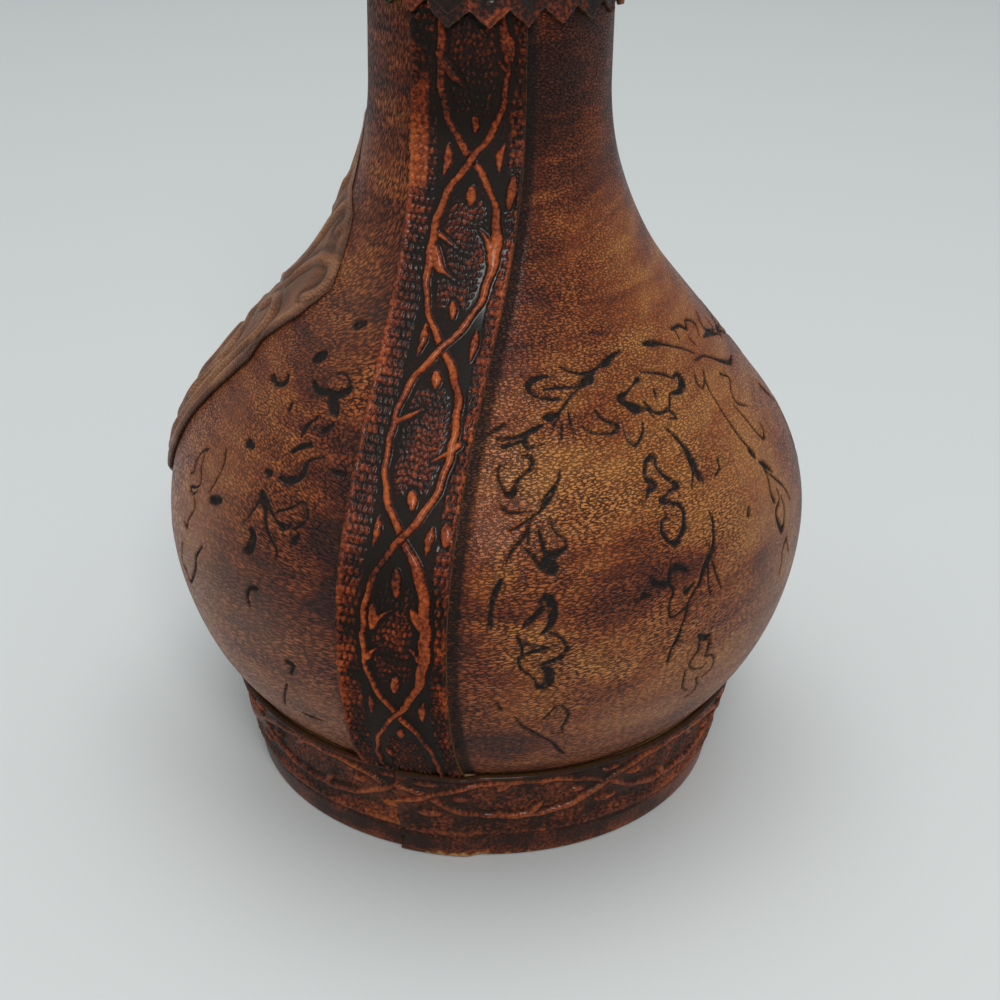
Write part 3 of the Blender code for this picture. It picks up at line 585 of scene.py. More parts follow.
    ((39.7, 56.5, 1.2), (40.7, 55.9, 0.9), (38.2, 55.7, 0.5)),
    ((74.7, 73, 1), (74.3, 74.6, 1.2)),
    ((75.3, 71.4, 0.6), (76.6, 69.9, 1.8), (78.1, 67.6, 0.6)),
    ((75.9, 69.7, 0.8), (75.6, 67, 0.6), (74.6, 64.2, 0.7), (74.9, 62.1, 1.4)),
    ((76.3, 68.3, 0.5), (78.2, 65.6, 0.6), (80.4, 62.6, 0.6), (81.5, 59.9, 0.5), (82, 58.2, 0.4)),
    ((77.3, 63.8, 0.4), (77.2, 61.1, 0.6), (74.8, 59.9, 0.9), (74.4, 57.7, 1.2), (75.6, 54.5, 1.6),
     (77.3, 56.2, 0.7), (78.3, 58.5, 0.6), (78.1, 61.4, 0.5)),
    ((77.5, 51.3, 1), (75.6, 49.9, 0.7), (75.2, 47.3, 0.6), (74.8, 43.7, 0.4)),
    ((77.5, 51, 0.5), (78.6, 47.4, 0.4)),
    ((65.7, 63.7, 1.5), (66.2, 64.8, 0.9)),
    ((44.6, 53.2, 0.5), (44.5, 50, 0.6), (45.9, 49.7, 0.5), (47.6, 50.7, 0.5)),
    ((48.2, 49.9, 0.6), (47.2, 47.2, 0.7), (46.4, 44.1, 1.1), (45.3, 41.9, 0.6), (44.9, 38.9, 0.8),
     (44.6, 38.8, 0.6)),
    ((50.8, 42.8, 0.6), (51.6, 41.6, 1.5), (52.9, 40.9, 1.7), (53.5, 41.3, 1)),
    ((51.2, 40.9, 0.6), (51.3, 38.7, 0.7), (50.3, 36.8, 0.7), (49.9, 34.9, 0.6), (51.2, 33.3, 0.4),
     (53.1, 32.3, 0.4), (54.1, 33.1, 0.4)),
    ((53.8, 39.6, 1.1), (53.7, 37.4, 0.8), (53.3, 35.6, 0.5), (54.9, 35.1, 0.5), (56.3, 32.6, 0.5),
     (56, 30, 0.5), (54.3, 28.9, 0.4)),
    ((52.6, 29.7, 0.5), (53.8, 26.6, 0.5), (53.4, 24.1, 0.5), (52, 23.6, 0.6)),
    ((49.3, 33.8, 0.5), (49.7, 28.9, 0.5), (51.4, 26.1, 0.5)),
)
FRONT_LINES = (
    ((-51.3, 71.3, 0.6), (-53, 69.8, 0.7), (-53.4, 67.2, 0.7), (-52.4, 65.1, 0.6), (-53.8, 63.7, 0.4)),
    ((-51.6, 70, 0.5), (-50.1, 67, 0.5), (-48.2, 65, 0.5), (-48.7, 63.3, 0.6), (-51.4, 61.7, 0.8),
     (-49.6, 61.1, 0.7), (-48.2, 62.7, 0.4)),
    ((-48.5, 60.9, 0.5), (-47.3, 58.8, 0.6), (-48.7, 55.7, 0.6), (-49.2, 53.2, 0.9), (-50.6, 53.7, 0.4)),
    ((-45.5, 74.2, 0.7), (-43.6, 72, 0.6), (-43.3, 69.4, 0.6), (-43.6, 66.7, 0.5), (-44, 64.5, 0.4)),
    ((-42.6, 63.7, 1.8), (-41.1, 64.3, 2.4), (-39.7, 64.9, 1.2)),
    ((-30.3, 71.4, 1.2), (-29.4, 70.3, 2.3), (-28, 68.5, 1.4), (-27, 65.9, 1.1), (-25.5, 63.7, 0.8),
     (-23.4, 61.8, 0.7), (-22.8, 60.1, 0.5)),
    ((-30.1, 69.2, 0.7), (-30.7, 66.9, 0.6), (-31.6, 64.4, 0.4)),
    ((-28.2, 70.3, 0.8), (-26.6, 68.6, 0.9), (-24.9, 67.2, 0.8), (-22.8, 66.6, 1.7), (-21.6, 67.5, 0.6)),
    ((-25.3, 69, 0.6), (-22.7, 70.8, 0.6), (-20.8, 72.8, 0.6), (-19.4, 71.8, 0.5), (-18.7, 69.7, 0.6),
     (-20.6, 66.9, 0.7)),
    ((-20, 64.6, 2), (-19.5, 66.3, 0.7)),
    ((-29.9, 63.1, 1.3), (-28.9, 61.8, 2.3), (-29.1, 59.1, 2.4), (-30.1, 58.4, 1.1)),
    ((-40.3, 78.8, 2.2), (-38.4, 78.6, 1.4)),
    ((-31.6, 75.7, 1.2), (-30.5, 75.6, 1.8)),
    ((-23.7, 84.4, 0.8), (-26.4, 83, 0.9), (-27.5, 81.6, 0.7)),
    ((-20, 83, 0.6), (-22.6, 81.7, 0.7), (-23.3, 80.1, 1.3), (-23.1, 77.9, 1.6), (-25.1, 76.1, 1.9),
     (-27.6, 75.7, 1.1)),
    ((-14.2, 80.8, 1.4), (-17.3, 80.7, 0.9)),
    ((-51.4, 47.7, 0.7), (-52.8, 42.2, 0.8), (-50.4, 40.9, 1.3), (-49.3, 38.9, 0.9), (-45.2, 45.1, 1),
     (-44.4, 49.1, 0.9), (-42.3, 52.6, 0.6)),
    ((-26.4, 51.4, 1.2), (-28, 50.6, 1), (-28.6, 48.4, 0.9), (-28.1, 46.4, 0.7)),
    ((-20.6, 35.7, 1.4), (-19.5, 35.4, 1.2), (-20.4, 32.5, 0.8)),
    ((-22.2, 28.2, 0.6), (-24, 23.9, 0.6), (-26, 18.5, 0.6)),
    ((-21.4, 18.4, 0.6), (-18.9, 17.9, 1.4), (-17.2, 18.1, 0.6)),
    ((-35.1, 101, 1), (-33.4, 102.3, 2.8), (-32.4, 103.2, 1.8)),
    ((-26.1, 111.4, 2.2), (-24.1, 112.4, 1.5)),
    ((-45.3, 93.2, 1.8), (-42.2, 92.6, 1.2), (-39.9, 93.9, 1.5), (-40.4, 95.5, 0.9)),
    ((-31.1, 96.8, 1.3), (-29.4, 95.8, 1.7), (-27.1, 95.9, 1.9), (-24.9, 96.5, 1.3), (-22.9, 96.4, 1.6),
     (-21, 97.4, 2), (-20.3, 98.6, 0.9), (-21.9, 100.1, 0.6), (-23.9, 101, 0.6), (-25.8, 100.2, 0.5)),
    ((-24.3, 95.6, 2.2), (-23.3, 94.3, 2.8), (-22, 93, 2.4), (-21.1, 92.2, 1)),
    ((-25.4, 90.6, 0.6), (-26.9, 88.7, 0.9), (-27.4, 86.9, 1.1), (-27.4, 85.5, 0.7)),
    ((-22.7, 87.9, 1.3), (-21, 90, 1.1)),
    ((-34.4, 90.8, 0.9), (-34.2, 89.4, 1.1)),
    ((-24.3, 84.6, 1.1), (-26.6, 83.3, 1.3), (-27.8, 81.8, 1.1)),
)


def strap_drift(along):
    """The right strap wasn't glued quite straight: it drifts to the right on its way up."""
    return -1.3 + 2.9 * ease(along, 78.0, 150.0)


def strap_groove(around, along):
    """How far inside the grooves along both straps each point lies. Only the back panel has them."""
    right = around * radius_at(along) - strap_drift(along)
    left = (math.pi - around) * radius_at(along)
    middle = (STRAP_WIDTH + STRAP_GROOVE) / 2
    away = np.minimum(np.abs(right - middle), np.abs(left - middle))
    return np.where(around > 0.0, STRAP_GROOVE / 2 - away, OUTSIDE)


def press_line(deepest, x, y, line, spare):
    """Deepens the points near a line to how far inside it they lie."""
    low, high = line[:, :2].min(0) - spare, line[:, :2].max(0) + spare
    near = (x > low[0]) & (x < high[0]) & (y > low[1]) & (y < high[1])
    deepest[near] = np.maximum(deepest[near], line_depth(x[near], y[near], line))


def tooled(around, along, flowers, lines):
    """How far inside the nearest tooled line each point of a panel lies, in mm."""
    deepest = np.full(around.shape, OUTSIDE)
    for drawn in lines:
        line = bent_line(drawn, 4)
        degrees, middle = (line[:, :2].min(0) + line[:, :2].max(0)) / 2
        radius = radius_at(middle)
        line[:, 0] = np.radians(line[:, 0] - degrees) * radius
        press_line(deepest, (around - math.radians(degrees)) * radius, along, line, 4.0)
    for drawing, degrees, middle, turn, size, side in flowers:
        x = (around - math.radians(degrees)) * radius_at(middle)
        y = along - middle
        near = np.hypot(x, y) < FLOWER_REACH * size
        cos, sin = math.cos(math.radians(turn)), math.sin(math.radians(turn))
        right = (x[near] * cos + y[near] * sin) * side / size
        up = (y[near] * cos - x[near] * sin) / size
        for drawn in drawing:
            depth = line_depth(right, up, bent_line(drawn, 5)) * size
            deepest[near] = np.maximum(deepest[near], depth)
    return deepest


# Darker and paler places: stains in the dye, and painted light too: painted shade where the front
# darkens low down towards the foot band, and a painted pale sheen low on the right of the back panel.
# Degrees round, millimetres along, reach round and along in millimetres, and how much darker.
BACK_STAINS_AND_PAINTED_LIGHT = (
    (20, 150, 34, 26, 0.2), (55, 168, 30, 24, 0.12), (12, 118, 12, 24, 0.12), (9, 50, 5, 40, 0.12),
    (42, 59, 15, 6, 0.2), (67, 51, 12, 7, 0.24), (16, 20, 9, 5, 0.22), (33, 66, 12, 4, 0.12),
    (30, 116, 13, 14, 0.12), (44, 168, 14, 12, 0.14), (70, 158, 12, 12, -0.12), (78, 122, 10, 14, -0.06),
    (30, 81, 14, 8, -0.05), (70, 54, 14, 18, -0.08), (41, 68, 6, 5, 0.07), (28, 53, 9, 4, 0.05),
    (66, 82, 34, 24, -0.2), (38, 40, 24, 14, -0.08), (28, 84, 14, 12, -0.12), (45, 132, 26, 18, -0.15),
    (42, 111, 18, 8, -0.12), (66, 152, 12, 16, -0.1), (31, 66, 6, 5, -0.13), (42, 50, 8, 5, -0.1),
    (78, 66, 8, 10, -0.1), (72, 48, 12, 10, -0.08), (55, 24, 14, 6, -0.08), (95, 60, 20, 20, 0.1),
    (35, 124, 11, 8, 0.08), (66, 159, 8, 8, -0.05), (46, 164, 10, 14, 0.16), (38, 139, 6, 6, -0.06),
    (16, 92, 7, 8, 0.05), (22, 108, 6, 6, 0.05), (52, 79, 8, 7, 0.04), (24, 83, 8, 6, -0.05),
    (36, 81, 9, 9, -0.07), (58, 59, 8, 7, -0.08), (43, 49, 7, 6, -0.06), (25, 67, 10, 5, -0.05),
    (66, 74, 9, 6, 0.05), (70, 92, 9, 6, 0.05), (78, 122, 10, 10, 0.05), (63, 140, 9, 12, 0.05),
    (32, 105, 10, 9, -0.05), (66, 159, 7, 8, -0.05), (42, 153, 6, 7, -0.04), (24, 84, 7, 6, -0.04),
    (64, 71, 6, 6, 0.035), (79, 68, 6, 8, -0.04), (120, 100, 20, 20, 0.16), (138, 58, 30, 20, -0.14),
    (172, 80, 8, 70, 0.22), (150, 150, 40, 26, 0.26),
)
FRONT_STAINS_AND_PAINTED_LIGHT = (
    (-10, 61, 8, 12, 0.34), (-33, 134, 12, 8, 0.09), (-42, 81, 10, 8, -0.09), (-26, 46, 12, 7, 0.06),
    (-18, 100, 8, 12, -0.05), (-12, 118, 10, 8, 0.2), (-8, 92, 6, 30, 0.1), (-14, 80, 9, 16, 0.14),
    (-24, 88, 14, 10, 0.1), (-12, 45, 7, 10, 0.1), (-30, 55, 12, 8, 0.2), (-22, 32, 22, 9, 0.1),
    (-30, 30, 20, 7, -0.09), (-33, 120, 8, 6, -0.07), (-26, 100, 14, 10, 0.04), (-52, 52, 18, 16, -0.16),
    (-40, 156, 20, 22, 0.04), (-90, 165, 40, 20, 0.16), (-90, 90, 38, 60, 0.06), (-13.5, 68, 6, 12, 0.09),
    (-24, 48, 14, 10, 0.1), (-36, 58, 9, 8, 0.05), (-25, 80, 6, 6, 0.04), (-55, 90, 10, 20, 0.03),
    (-30, 46, 7, 6, 0.05), (-32, 92, 8, 7, 0.04), (-39, 51, 7, 7, 0.04), (-30, 46, 7, 6, 0.04),
    (-35, 167, 9, 9, -0.04), (-33, 134, 7, 7, 0.03), (-150, 70, 26, 20, -0.12), (-172, 80, 8, 70, 0.2),
    (-130, 130, 26, 18, 0.16),
)
# Where the grain is worn smooth, in the same terms.
SMOOTH_PLACES = (
    (-47, 50, 13, 26, 0.8), (-24, 24, 22, 9, 0.45), (76, 52, 15, 34, 0.65), (52, 24, 26, 9, 0.5),
    (84, 118, 18, 34, 0.6), (50, 92, 12, 12, 0.2),
)
# Where a grey sheen, the reflection of the pale room on the lower sides, is painted into the colour, in the
# same terms.
PAINTED_SHEEN_PLACES = (
    (-45, 50, 14, 22, 0.6), (-28, 42, 13, 10, 0.4), (-22, 22, 24, 9, 0.4), (75, 48, 13, 20, 0.6),
    (50, 24, 22, 9, 0.4), (-30, 116, 13, 16, 0.2),
)


def clouds_at(around, along, places):
    """The sum of soft clouds at these places."""
    made = np.zeros(around.shape)
    for degrees, middle, wide, high, amount in places:
        x = (around - math.radians(degrees)) * radius_at(along) / wide
        y = (along - middle) / high
        made += amount * np.exp(-(x * x + y * y))
    return made


# The lie of the grain, by millimetres along: how far its strands rise to the right, its scale
# along them, how far they turn to run up the leather, and its scale across them.
BACK_GRAIN = (
    (0, 0.14, 0.26, 0, 1), (50, 0.12, 0.28, 0, 1), (70, 0.04, 0.34, 0, 0.95), (100, 0, 0.46, 0, 0.9),
    (135, -0.15, 0.52, 0, 0.85), (200, -0.1, 0.5, 0, 0.85),
)
FRONT_GRAIN = (
    (0, 0.1, 0.24, 0.03, 0.85), (50, 0.08, 0.24, 0.03, 0.85), (65, -0.2, 0.3, 0.05, 0.95),
    (80, -0.25, 0.48, 0.1, 1), (100, 0.25, 0.34, 0.18, 0.9), (114, 0.55, 0.2, 0.24, 0.75),
    (126, 0.8, 0.09, 0.27, 0.5), (145, 1, 0.03, 0.28, 0.2), (200, 1, 0.03, 0.28, 0.2),
)
BACK_GRAIN_MIDDLE = 30.0
FRONT_GRAIN_MIDDLE = -30.0
GRAIN_STEP = 0.5
GRAIN_TOP = 200.0
# Low on the leather the strands stop rising this far left of the middle.
GRAIN_HELD = 22.0
GRAIN_HELD_BELOW = 90.0
GRAIN_SPARE = 3.0
GRAIN_FADE = 6.0


def grain_place(around, along, middle, lie):
    """Where each point lies in the grain: along its strands and across them."""
    heights, rising, lengthwise, turning, across = np.array(lie).T
    x = (around - math.radians(middle)) * radius_at(along)
    past = np.minimum(x + GRAIN_HELD, 0.0)
    held = x - past - GRAIN_SPARE * (1.0 - np.exp(past / GRAIN_FADE))
    steps = np.arange(0.0, GRAIN_TOP + GRAIN_STEP / 2, GRAIN_STEP)

    def climbed(shares):
        return np.interp(along, steps, np.cumsum(np.interp(steps, heights, shares)) * GRAIN_STEP)

    lengthways = np.interp(along, heights, lengthwise) * x + climbed(turning)
    risen = np.interp(along, heights, rising) * np.where(along < GRAIN_HELD_BELOW, held, x)
    return lengthways, climbed(across) - risen


def make_panel(name, start, flowers, lines, stains_and_painted_light, grain_middle, grain, look):
    """A half shell: its tooled outside, its plain inside and the cut edges between them."""
    low, high = along_at(PANEL_FOOT), along_at(MOUTH)
    columns = round(math.pi * GLOBE_RADIUS / PANEL_CELL)
    rows = round((high - low) / PANEL_CELL)
    across = np.linspace(start + SEAM_ANGLE / 2, start + math.pi - SEAM_ANGLE / 2, columns + 1)
    up = np.linspace(low, high, rows + 1)
    # The mesh is cut while it lies flat: angle, length along and side (0 outside, 1 inside).
    bm = bmesh.new()
    sheets = [[[bm.verts.new((a * GLOBE_RADIUS, s, side)) for a in across] for s in up] for side in (0, 1)]
    for side, sheet in enumerate(sheets):
        for low_row, high_row in zip(sheet, sheet[1:]):
            for j in range(columns):
                corners = (low_row[j], low_row[j + 1], high_row[j + 1], high_row[j])
                bm.faces.new(corners if side == 0 else corners[::-1])
    outside, inside = sheets
    rim = [(0, j) for j in range(columns)] + [(i, columns) for i in range(rows)]
    rim += [(rows, j) for j in range(columns, 0, -1)] + [(i, 0) for i in range(rows, 0, -1)]
    for (i, j), (k, m) in zip(rim, rim[1:] + rim[:1]):
        bm.faces.new((outside[k][m], outside[i][j], inside[i][j], inside[k][m]))
    for reach in TOOLED_REACHES:
        flat = np.array([v.co for v in bm.verts])
        around, along = flat[:, 0] / GLOBE_RADIUS, flat[:, 1]
        depth = np.maximum(tooled(around, along, flowers, lines), strap_groove(around, along))
        bm.verts.index_update()
        near = (depth > -reach) & (flat[:, 2] < 0.5)
        edges = [e for e in bm.edges if near[e.verts[0].index] and near[e.verts[1].index]]
        bmesh.ops.subdivide_edges(bm, edges=edges, cuts=1, use_grid_fill=True)
    flat = np.array([v.co for v in bm.verts])
    around, along, inner = flat[:, 0] / GLOBE_RADIUS, flat[:, 1], flat[:, 2] > 0.5
    depth = np.where(inner, OUTSIDE, tooled(around, along, flowers, lines))
    groove = np.where(inner, OUTSIDE, strap_groove(around, along))
    lift = TOOLED_BURR * ease(depth, -1.1, -0.5) * ease(-depth, 0.1, 0.45)
    lift -= TOOLED_DEPTH * ease(depth, -0.20, 0.40) + GROOVE_DEPTH * ease(groove, -0.8, 0.9)
    lift += UNEVEN * np.sin(along / 7.0 + 3.0 * np.sin(around * 2.0)) * np.sin(around * 9.0)
    points = on_leather(along, around, np.where(inner, -LEATHER, lift))
    for vert, place in zip(bm.verts, points):
        vert.co = place
    mesh = bpy.data.meshes.new(name)
    bm.to_mesh(mesh)
    bm.free()
    none = np.zeros(along.shape)
    marks = {
        "lay": np.stack([around * radius_at(along), along, none], -1),
        "grain": np.stack([*grain_place(around, along, grain_middle, grain), none], -1),
        "ink": np.maximum(ease(depth, -0.22, 0.12), 0.84 * ease(groove, -1.0, 0.5)),
        "stain_and_painted_light": clouds_at(around, along, stains_and_painted_light),
        "smooth": clouds_at(around, along, SMOOTH_PLACES),
        "painted_sheen": clouds_at(around, along, PAINTED_SHEEN_PLACES),
        "matt": 0.7 * ease(along, 138.0, 158.0),
    }
    return add_piece(name, mesh, look, marks)


def math_node(tree, operation, *values, clamp=False):
    return add_node(tree, "Math", dict(enumerate(values)), operation=operation, use_clamp=clamp).outputs[0]


def product(tree, first, second):
    return math_node(tree, "MULTIPLY", first, second)


def weighted(tree, *terms, start=0.0):
    """The sum of a start and some values, each times its weight."""
    for value, weight in terms:
        start = math_node(tree, "MULTIPLY_ADD", value, weight, start)
    return start


def soft_step(tree, value, low, high, to_low=0.0, to_high=1.0):
    inputs = {"Value": value, "From Min": low, "From Max": high, "To Min": to_low, "To Max": to_high}
    return add_node(tree, "MapRange", inputs, interpolation_type="SMOOTHSTEP").outputs["Result"]


def colour_mix(tree, share, first, second, blend="MIX"):
    inputs = {0: share}
    for index, colour in ((6, first), (7, second)):
        inputs[index] = (*colour, 1.0) if isinstance(colour, tuple) else colour
    return add_node(tree, "Mix", inputs, data_type="RGBA", blend_type=blend).outputs[2]


def cell_edges(tree, vector, per_mm, fine, wander, randomness, dimensions="2D"):
    """How far each place is from the edges of uneven cells. They wander off a plain pattern."""
    inputs = {"Vector": vector, "Scale": per_mm * fine, "Detail": 2.0}
    astray = add_node(tree, "TexNoise", inputs).outputs["Color"]
    offset = add_node(tree, "VectorMath", {0: astray, 1: (0.5, 0.5, 0.5)}, operation="SUBTRACT").outputs[0]
    moved = add_node(tree, "VectorMath", {0: offset, 3: wander / per_mm}, operation="SCALE").outputs[0]
    place = add_node(tree, "VectorMath", {0: vector, 1: moved}, operation="ADD").outputs[0]
    inputs = {"Vector": place, "Scale": per_mm, "Randomness": randomness}
    cells = add_node(tree, "TexVoronoi", inputs, feature="DISTANCE_TO_EDGE", voronoi_dimensions=dimensions)
    return cells.outputs["Distance"]


PANEL_DEEP = (0.048, 0.012, 0.0055)
PANEL_RED = (0.160, 0.032, 0.0075)
PANEL_ORANGE = (0.322, 0.087, 0.018)
PANEL_TAN = (0.465, 0.190, 0.046)
PAINTED_GLINT_COLOUR = (0.560, 0.280, 0.125)
PAINTED_SHEEN_COLOUR = (0.235, 0.140, 0.090)
INK = (0.014, 0.012, 0.011)
PEBBLE_SHADE = (1.06, 1.00, 0.96)
CREASE_SHADE = (0.13, 0.075, 0.06)
PANEL_COLOURS = ((0.22, PANEL_DEEP), (0.40, PANEL_RED), (0.55, PANEL_ORANGE), (0.76, PANEL_TAN))
BACK_PER_MM = 1.90
FRONT_PER_MM = 1.60


def calf_grain(tree, vector, per_mm):
    """Irregular calf grain: 0 in its broken dark creases and 1 on the tops between them."""
    edges = cell_edges(tree, vector, per_mm, 0.8, 1.1, 1.0)
    uneven = noise(tree, vector, per_mm * 1.25, 4.0, 0.7, 0.3)
    return soft_step(tree, weighted(tree, (uneven, 1.9), start=edges), 0.98, 1.22)


def make_panel_look(name, per_mm):
    """Calf leather, dyed unevenly by hand, with dark creases, painted glints on the pebbles, painted shade
    and sheen in places, and inked lines.
    """
    look, tree, shader = new_finish(
        name, Coat_Weight=0.34, Coat_Roughness=0.22, Coat_IOR=1.45, Specular_IOR_Level=0.12,
        Sheen_Weight=0.03, Sheen_Roughness=0.45
    )
    lay = mark(tree, "lay", "Vector")
    grain = mark(tree, "grain", "Vector")
    ink = mark(tree, "ink")
    clouds = noise(tree, stretch(tree, lay, (1.0, 1.5, 1.0)), 0.045, 5.0, 0.60, 0.6)
    streaks = noise(tree, stretch(tree, lay, (0.30, 1.7, 1.0)), 0.13, 4.0, 0.6, 0.4)
    speckle = noise(tree, lay, 0.8, 4.0, 0.7)
    # The stain mark darkens and pales the dye; part of it is painted shade and painted sheen.
    tone = weighted(
        tree, (clouds, 0.80), (streaks, 0.60), (mark(tree, "stain_and_painted_light"), -1.0), (speckle, 0.40), start=-0.36
    )
    dyed = colour_ramp(tree, tone, PANEL_COLOURS)
    pebbles = calf_grain(tree, grain, per_mm)
    shown = soft_step(tree, noise(tree, lay, 0.10, 3.0), 0.30, 0.62, 0.66, 1.0)
    shown = product(tree, shown, math_node(tree, "SUBTRACT", 1.0, mark(tree, "smooth")))
    creases = math_node(tree, "MULTIPLY", math_node(tree, "SUBTRACT", 1.0, pebbles), shown, clamp=True)
    dyed = colour_mix(tree, 1.0, dyed, colour_mix(tree, creases, PEBBLE_SHADE, CREASE_SHADE), "MULTIPLY")
    # Pale specks on the pebble tops are painted highlights: glints of the lamp on the grain.
    rubbed = soft_step(tree, noise(tree, grain, per_mm * 1.9, 3.0, 0.6), 0.54, 0.68, 0.0, 0.26)
    rubbed = product(tree, rubbed, product(tree, pebbles, soft_step(tree, tone, 0.30, 0.50, 0.45, 1.0)))
    dyed = colour_mix(tree, rubbed, dyed, PAINTED_GLINT_COLOUR)
    # Painted sheen: the lower sides are mixed towards grey, as the pale room would reflect there.
    dyed = colour_mix(tree, product(tree, mark(tree, "painted_sheen"), 0.75), dyed, PAINTED_SHEEN_COLOUR)
    inked = product(tree, ink, soft_step(tree, noise(tree, lay, 0.7, 3.0), 0.30, 0.50, 0.72, 1.0))
    smooth = soft_step(tree, pebbles, 0.0, 1.0, 0.66, 0.42)
    rough = weighted(tree, (noise(tree, lay, 0.5, 2.0), 0.10), (ink, 0.15), start=smooth)
    glossy = soft_step(tree, mark(tree, "matt"), 0.0, 1.0, 1.0, 0.25)
    coat = product(tree, glossy, soft_step(tree, ink, 0.4, 0.8, 0.34, 0.04))
    dress(tree, shader, Base_Color=colour_mix(tree, inked, dyed, INK), Roughness=rough, Coat_Weight=coat)
    height = weighted(tree, (noise(tree, lay, 4.0, 2.0, 0.6), 0.28), start=pebbles)
    bump(tree, shader, height, 0.00024)
    bump(tree, shader, height, 0.00016, "Coat Normal")
    return look


back_panel = make_panel(
    "tooled_back_panel", 0.0, BACK_FLOWERS, BACK_LINES, BACK_STAINS_AND_PAINTED_LIGHT, BACK_GRAIN_MIDDLE, BACK_GRAIN,
    make_panel_look("back_panel_leather", BACK_PER_MM)
)
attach(back_panel, "decanter")
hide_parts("back_panel")

front_panel = make_panel(
    "tooled_front_panel", -math.pi, FRONT_FLOWERS, FRONT_LINES, FRONT_STAINS_AND_PAINTED_LIGHT, FRONT_GRAIN_MIDDLE, FRONT_GRAIN,
    make_panel_look("front_panel_leather", FRONT_PER_MM)
)
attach(front_panel, "decanter")
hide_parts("front_panel")

# Straps
# Two strips of thicker leather, rolled with a pattern of crossing vines and glued over the
# seams of the panels. The raised parts are rubbed back to tan and the hollows stay near black.

VINE_PERIOD = 39.6  # from one crossing of the vines to the next
VINE_REACH = 6.4  # from the crossing line, at most
VINE_WIDTH = 1.7
STRAP_FLOOR = 0.95  # height of the hollows over the strap's underside
STRAP_RELIEF = 0.95  # height of the vines over the hollows
STRAP_EDGE = 0.35  # height of the cut edge over the hollows
STRAP_GRID = 0.24
MARGIN_BRICK = (1.24, 2.05)  # across and along, each with the gap beside it
GAP_BRICK = (1.08, 1.52)
STRAP_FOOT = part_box("right_strap")[0].z / MM
STRAP_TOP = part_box("right_strap")[1].z / MM
COLLAR_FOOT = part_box("neck_collar")[0].z / MM
FIRST_CROSSING = 30.6  # along the right strap
LEFT_CROSSING = 16.6
# How well the tan is rubbed, by millimetres along. Its drop just under the collar is painted shade of the
# collar; it also dims towards the foot and at 60 to 70 mm.
STRAP_WEAR_AND_SHADE = ((0, 0.64), (30, 0.82), (48, 0.90), (58, 0.86), (65, 0.62), (78, 1.0), (148, 0.90), (166, 0.42))
# Width of the vines left and right of the crossing line, at a length from the first crossing.
VINE_WIDTHS = (
    (-20, 1.1, 1.2), (-8, 1.15, 1.1), (0, 1.2, 1.4), (8, 1.1, 2), (16, 1.3, 2.7), (26, 1.5, 2.6),
    (34, 1.6, 2.2), (40, 1.7, 1.7), (50, 1.5, 1.7), (60, 1.5, 1.7), (68, 1.5, 1.9), (79, 1.6, 1.6),
    (88, 1.3, 1.6), (95, 1.8, 1.8), (99, 1.9, 2.7), (104, 1.7, 2.3), (110, 1.6, 1.4), (119, 1.6, 1.6),
    (130, 1.7, 1.4), (142, 1.8, 1.1), (150, 1.6, 1),
)
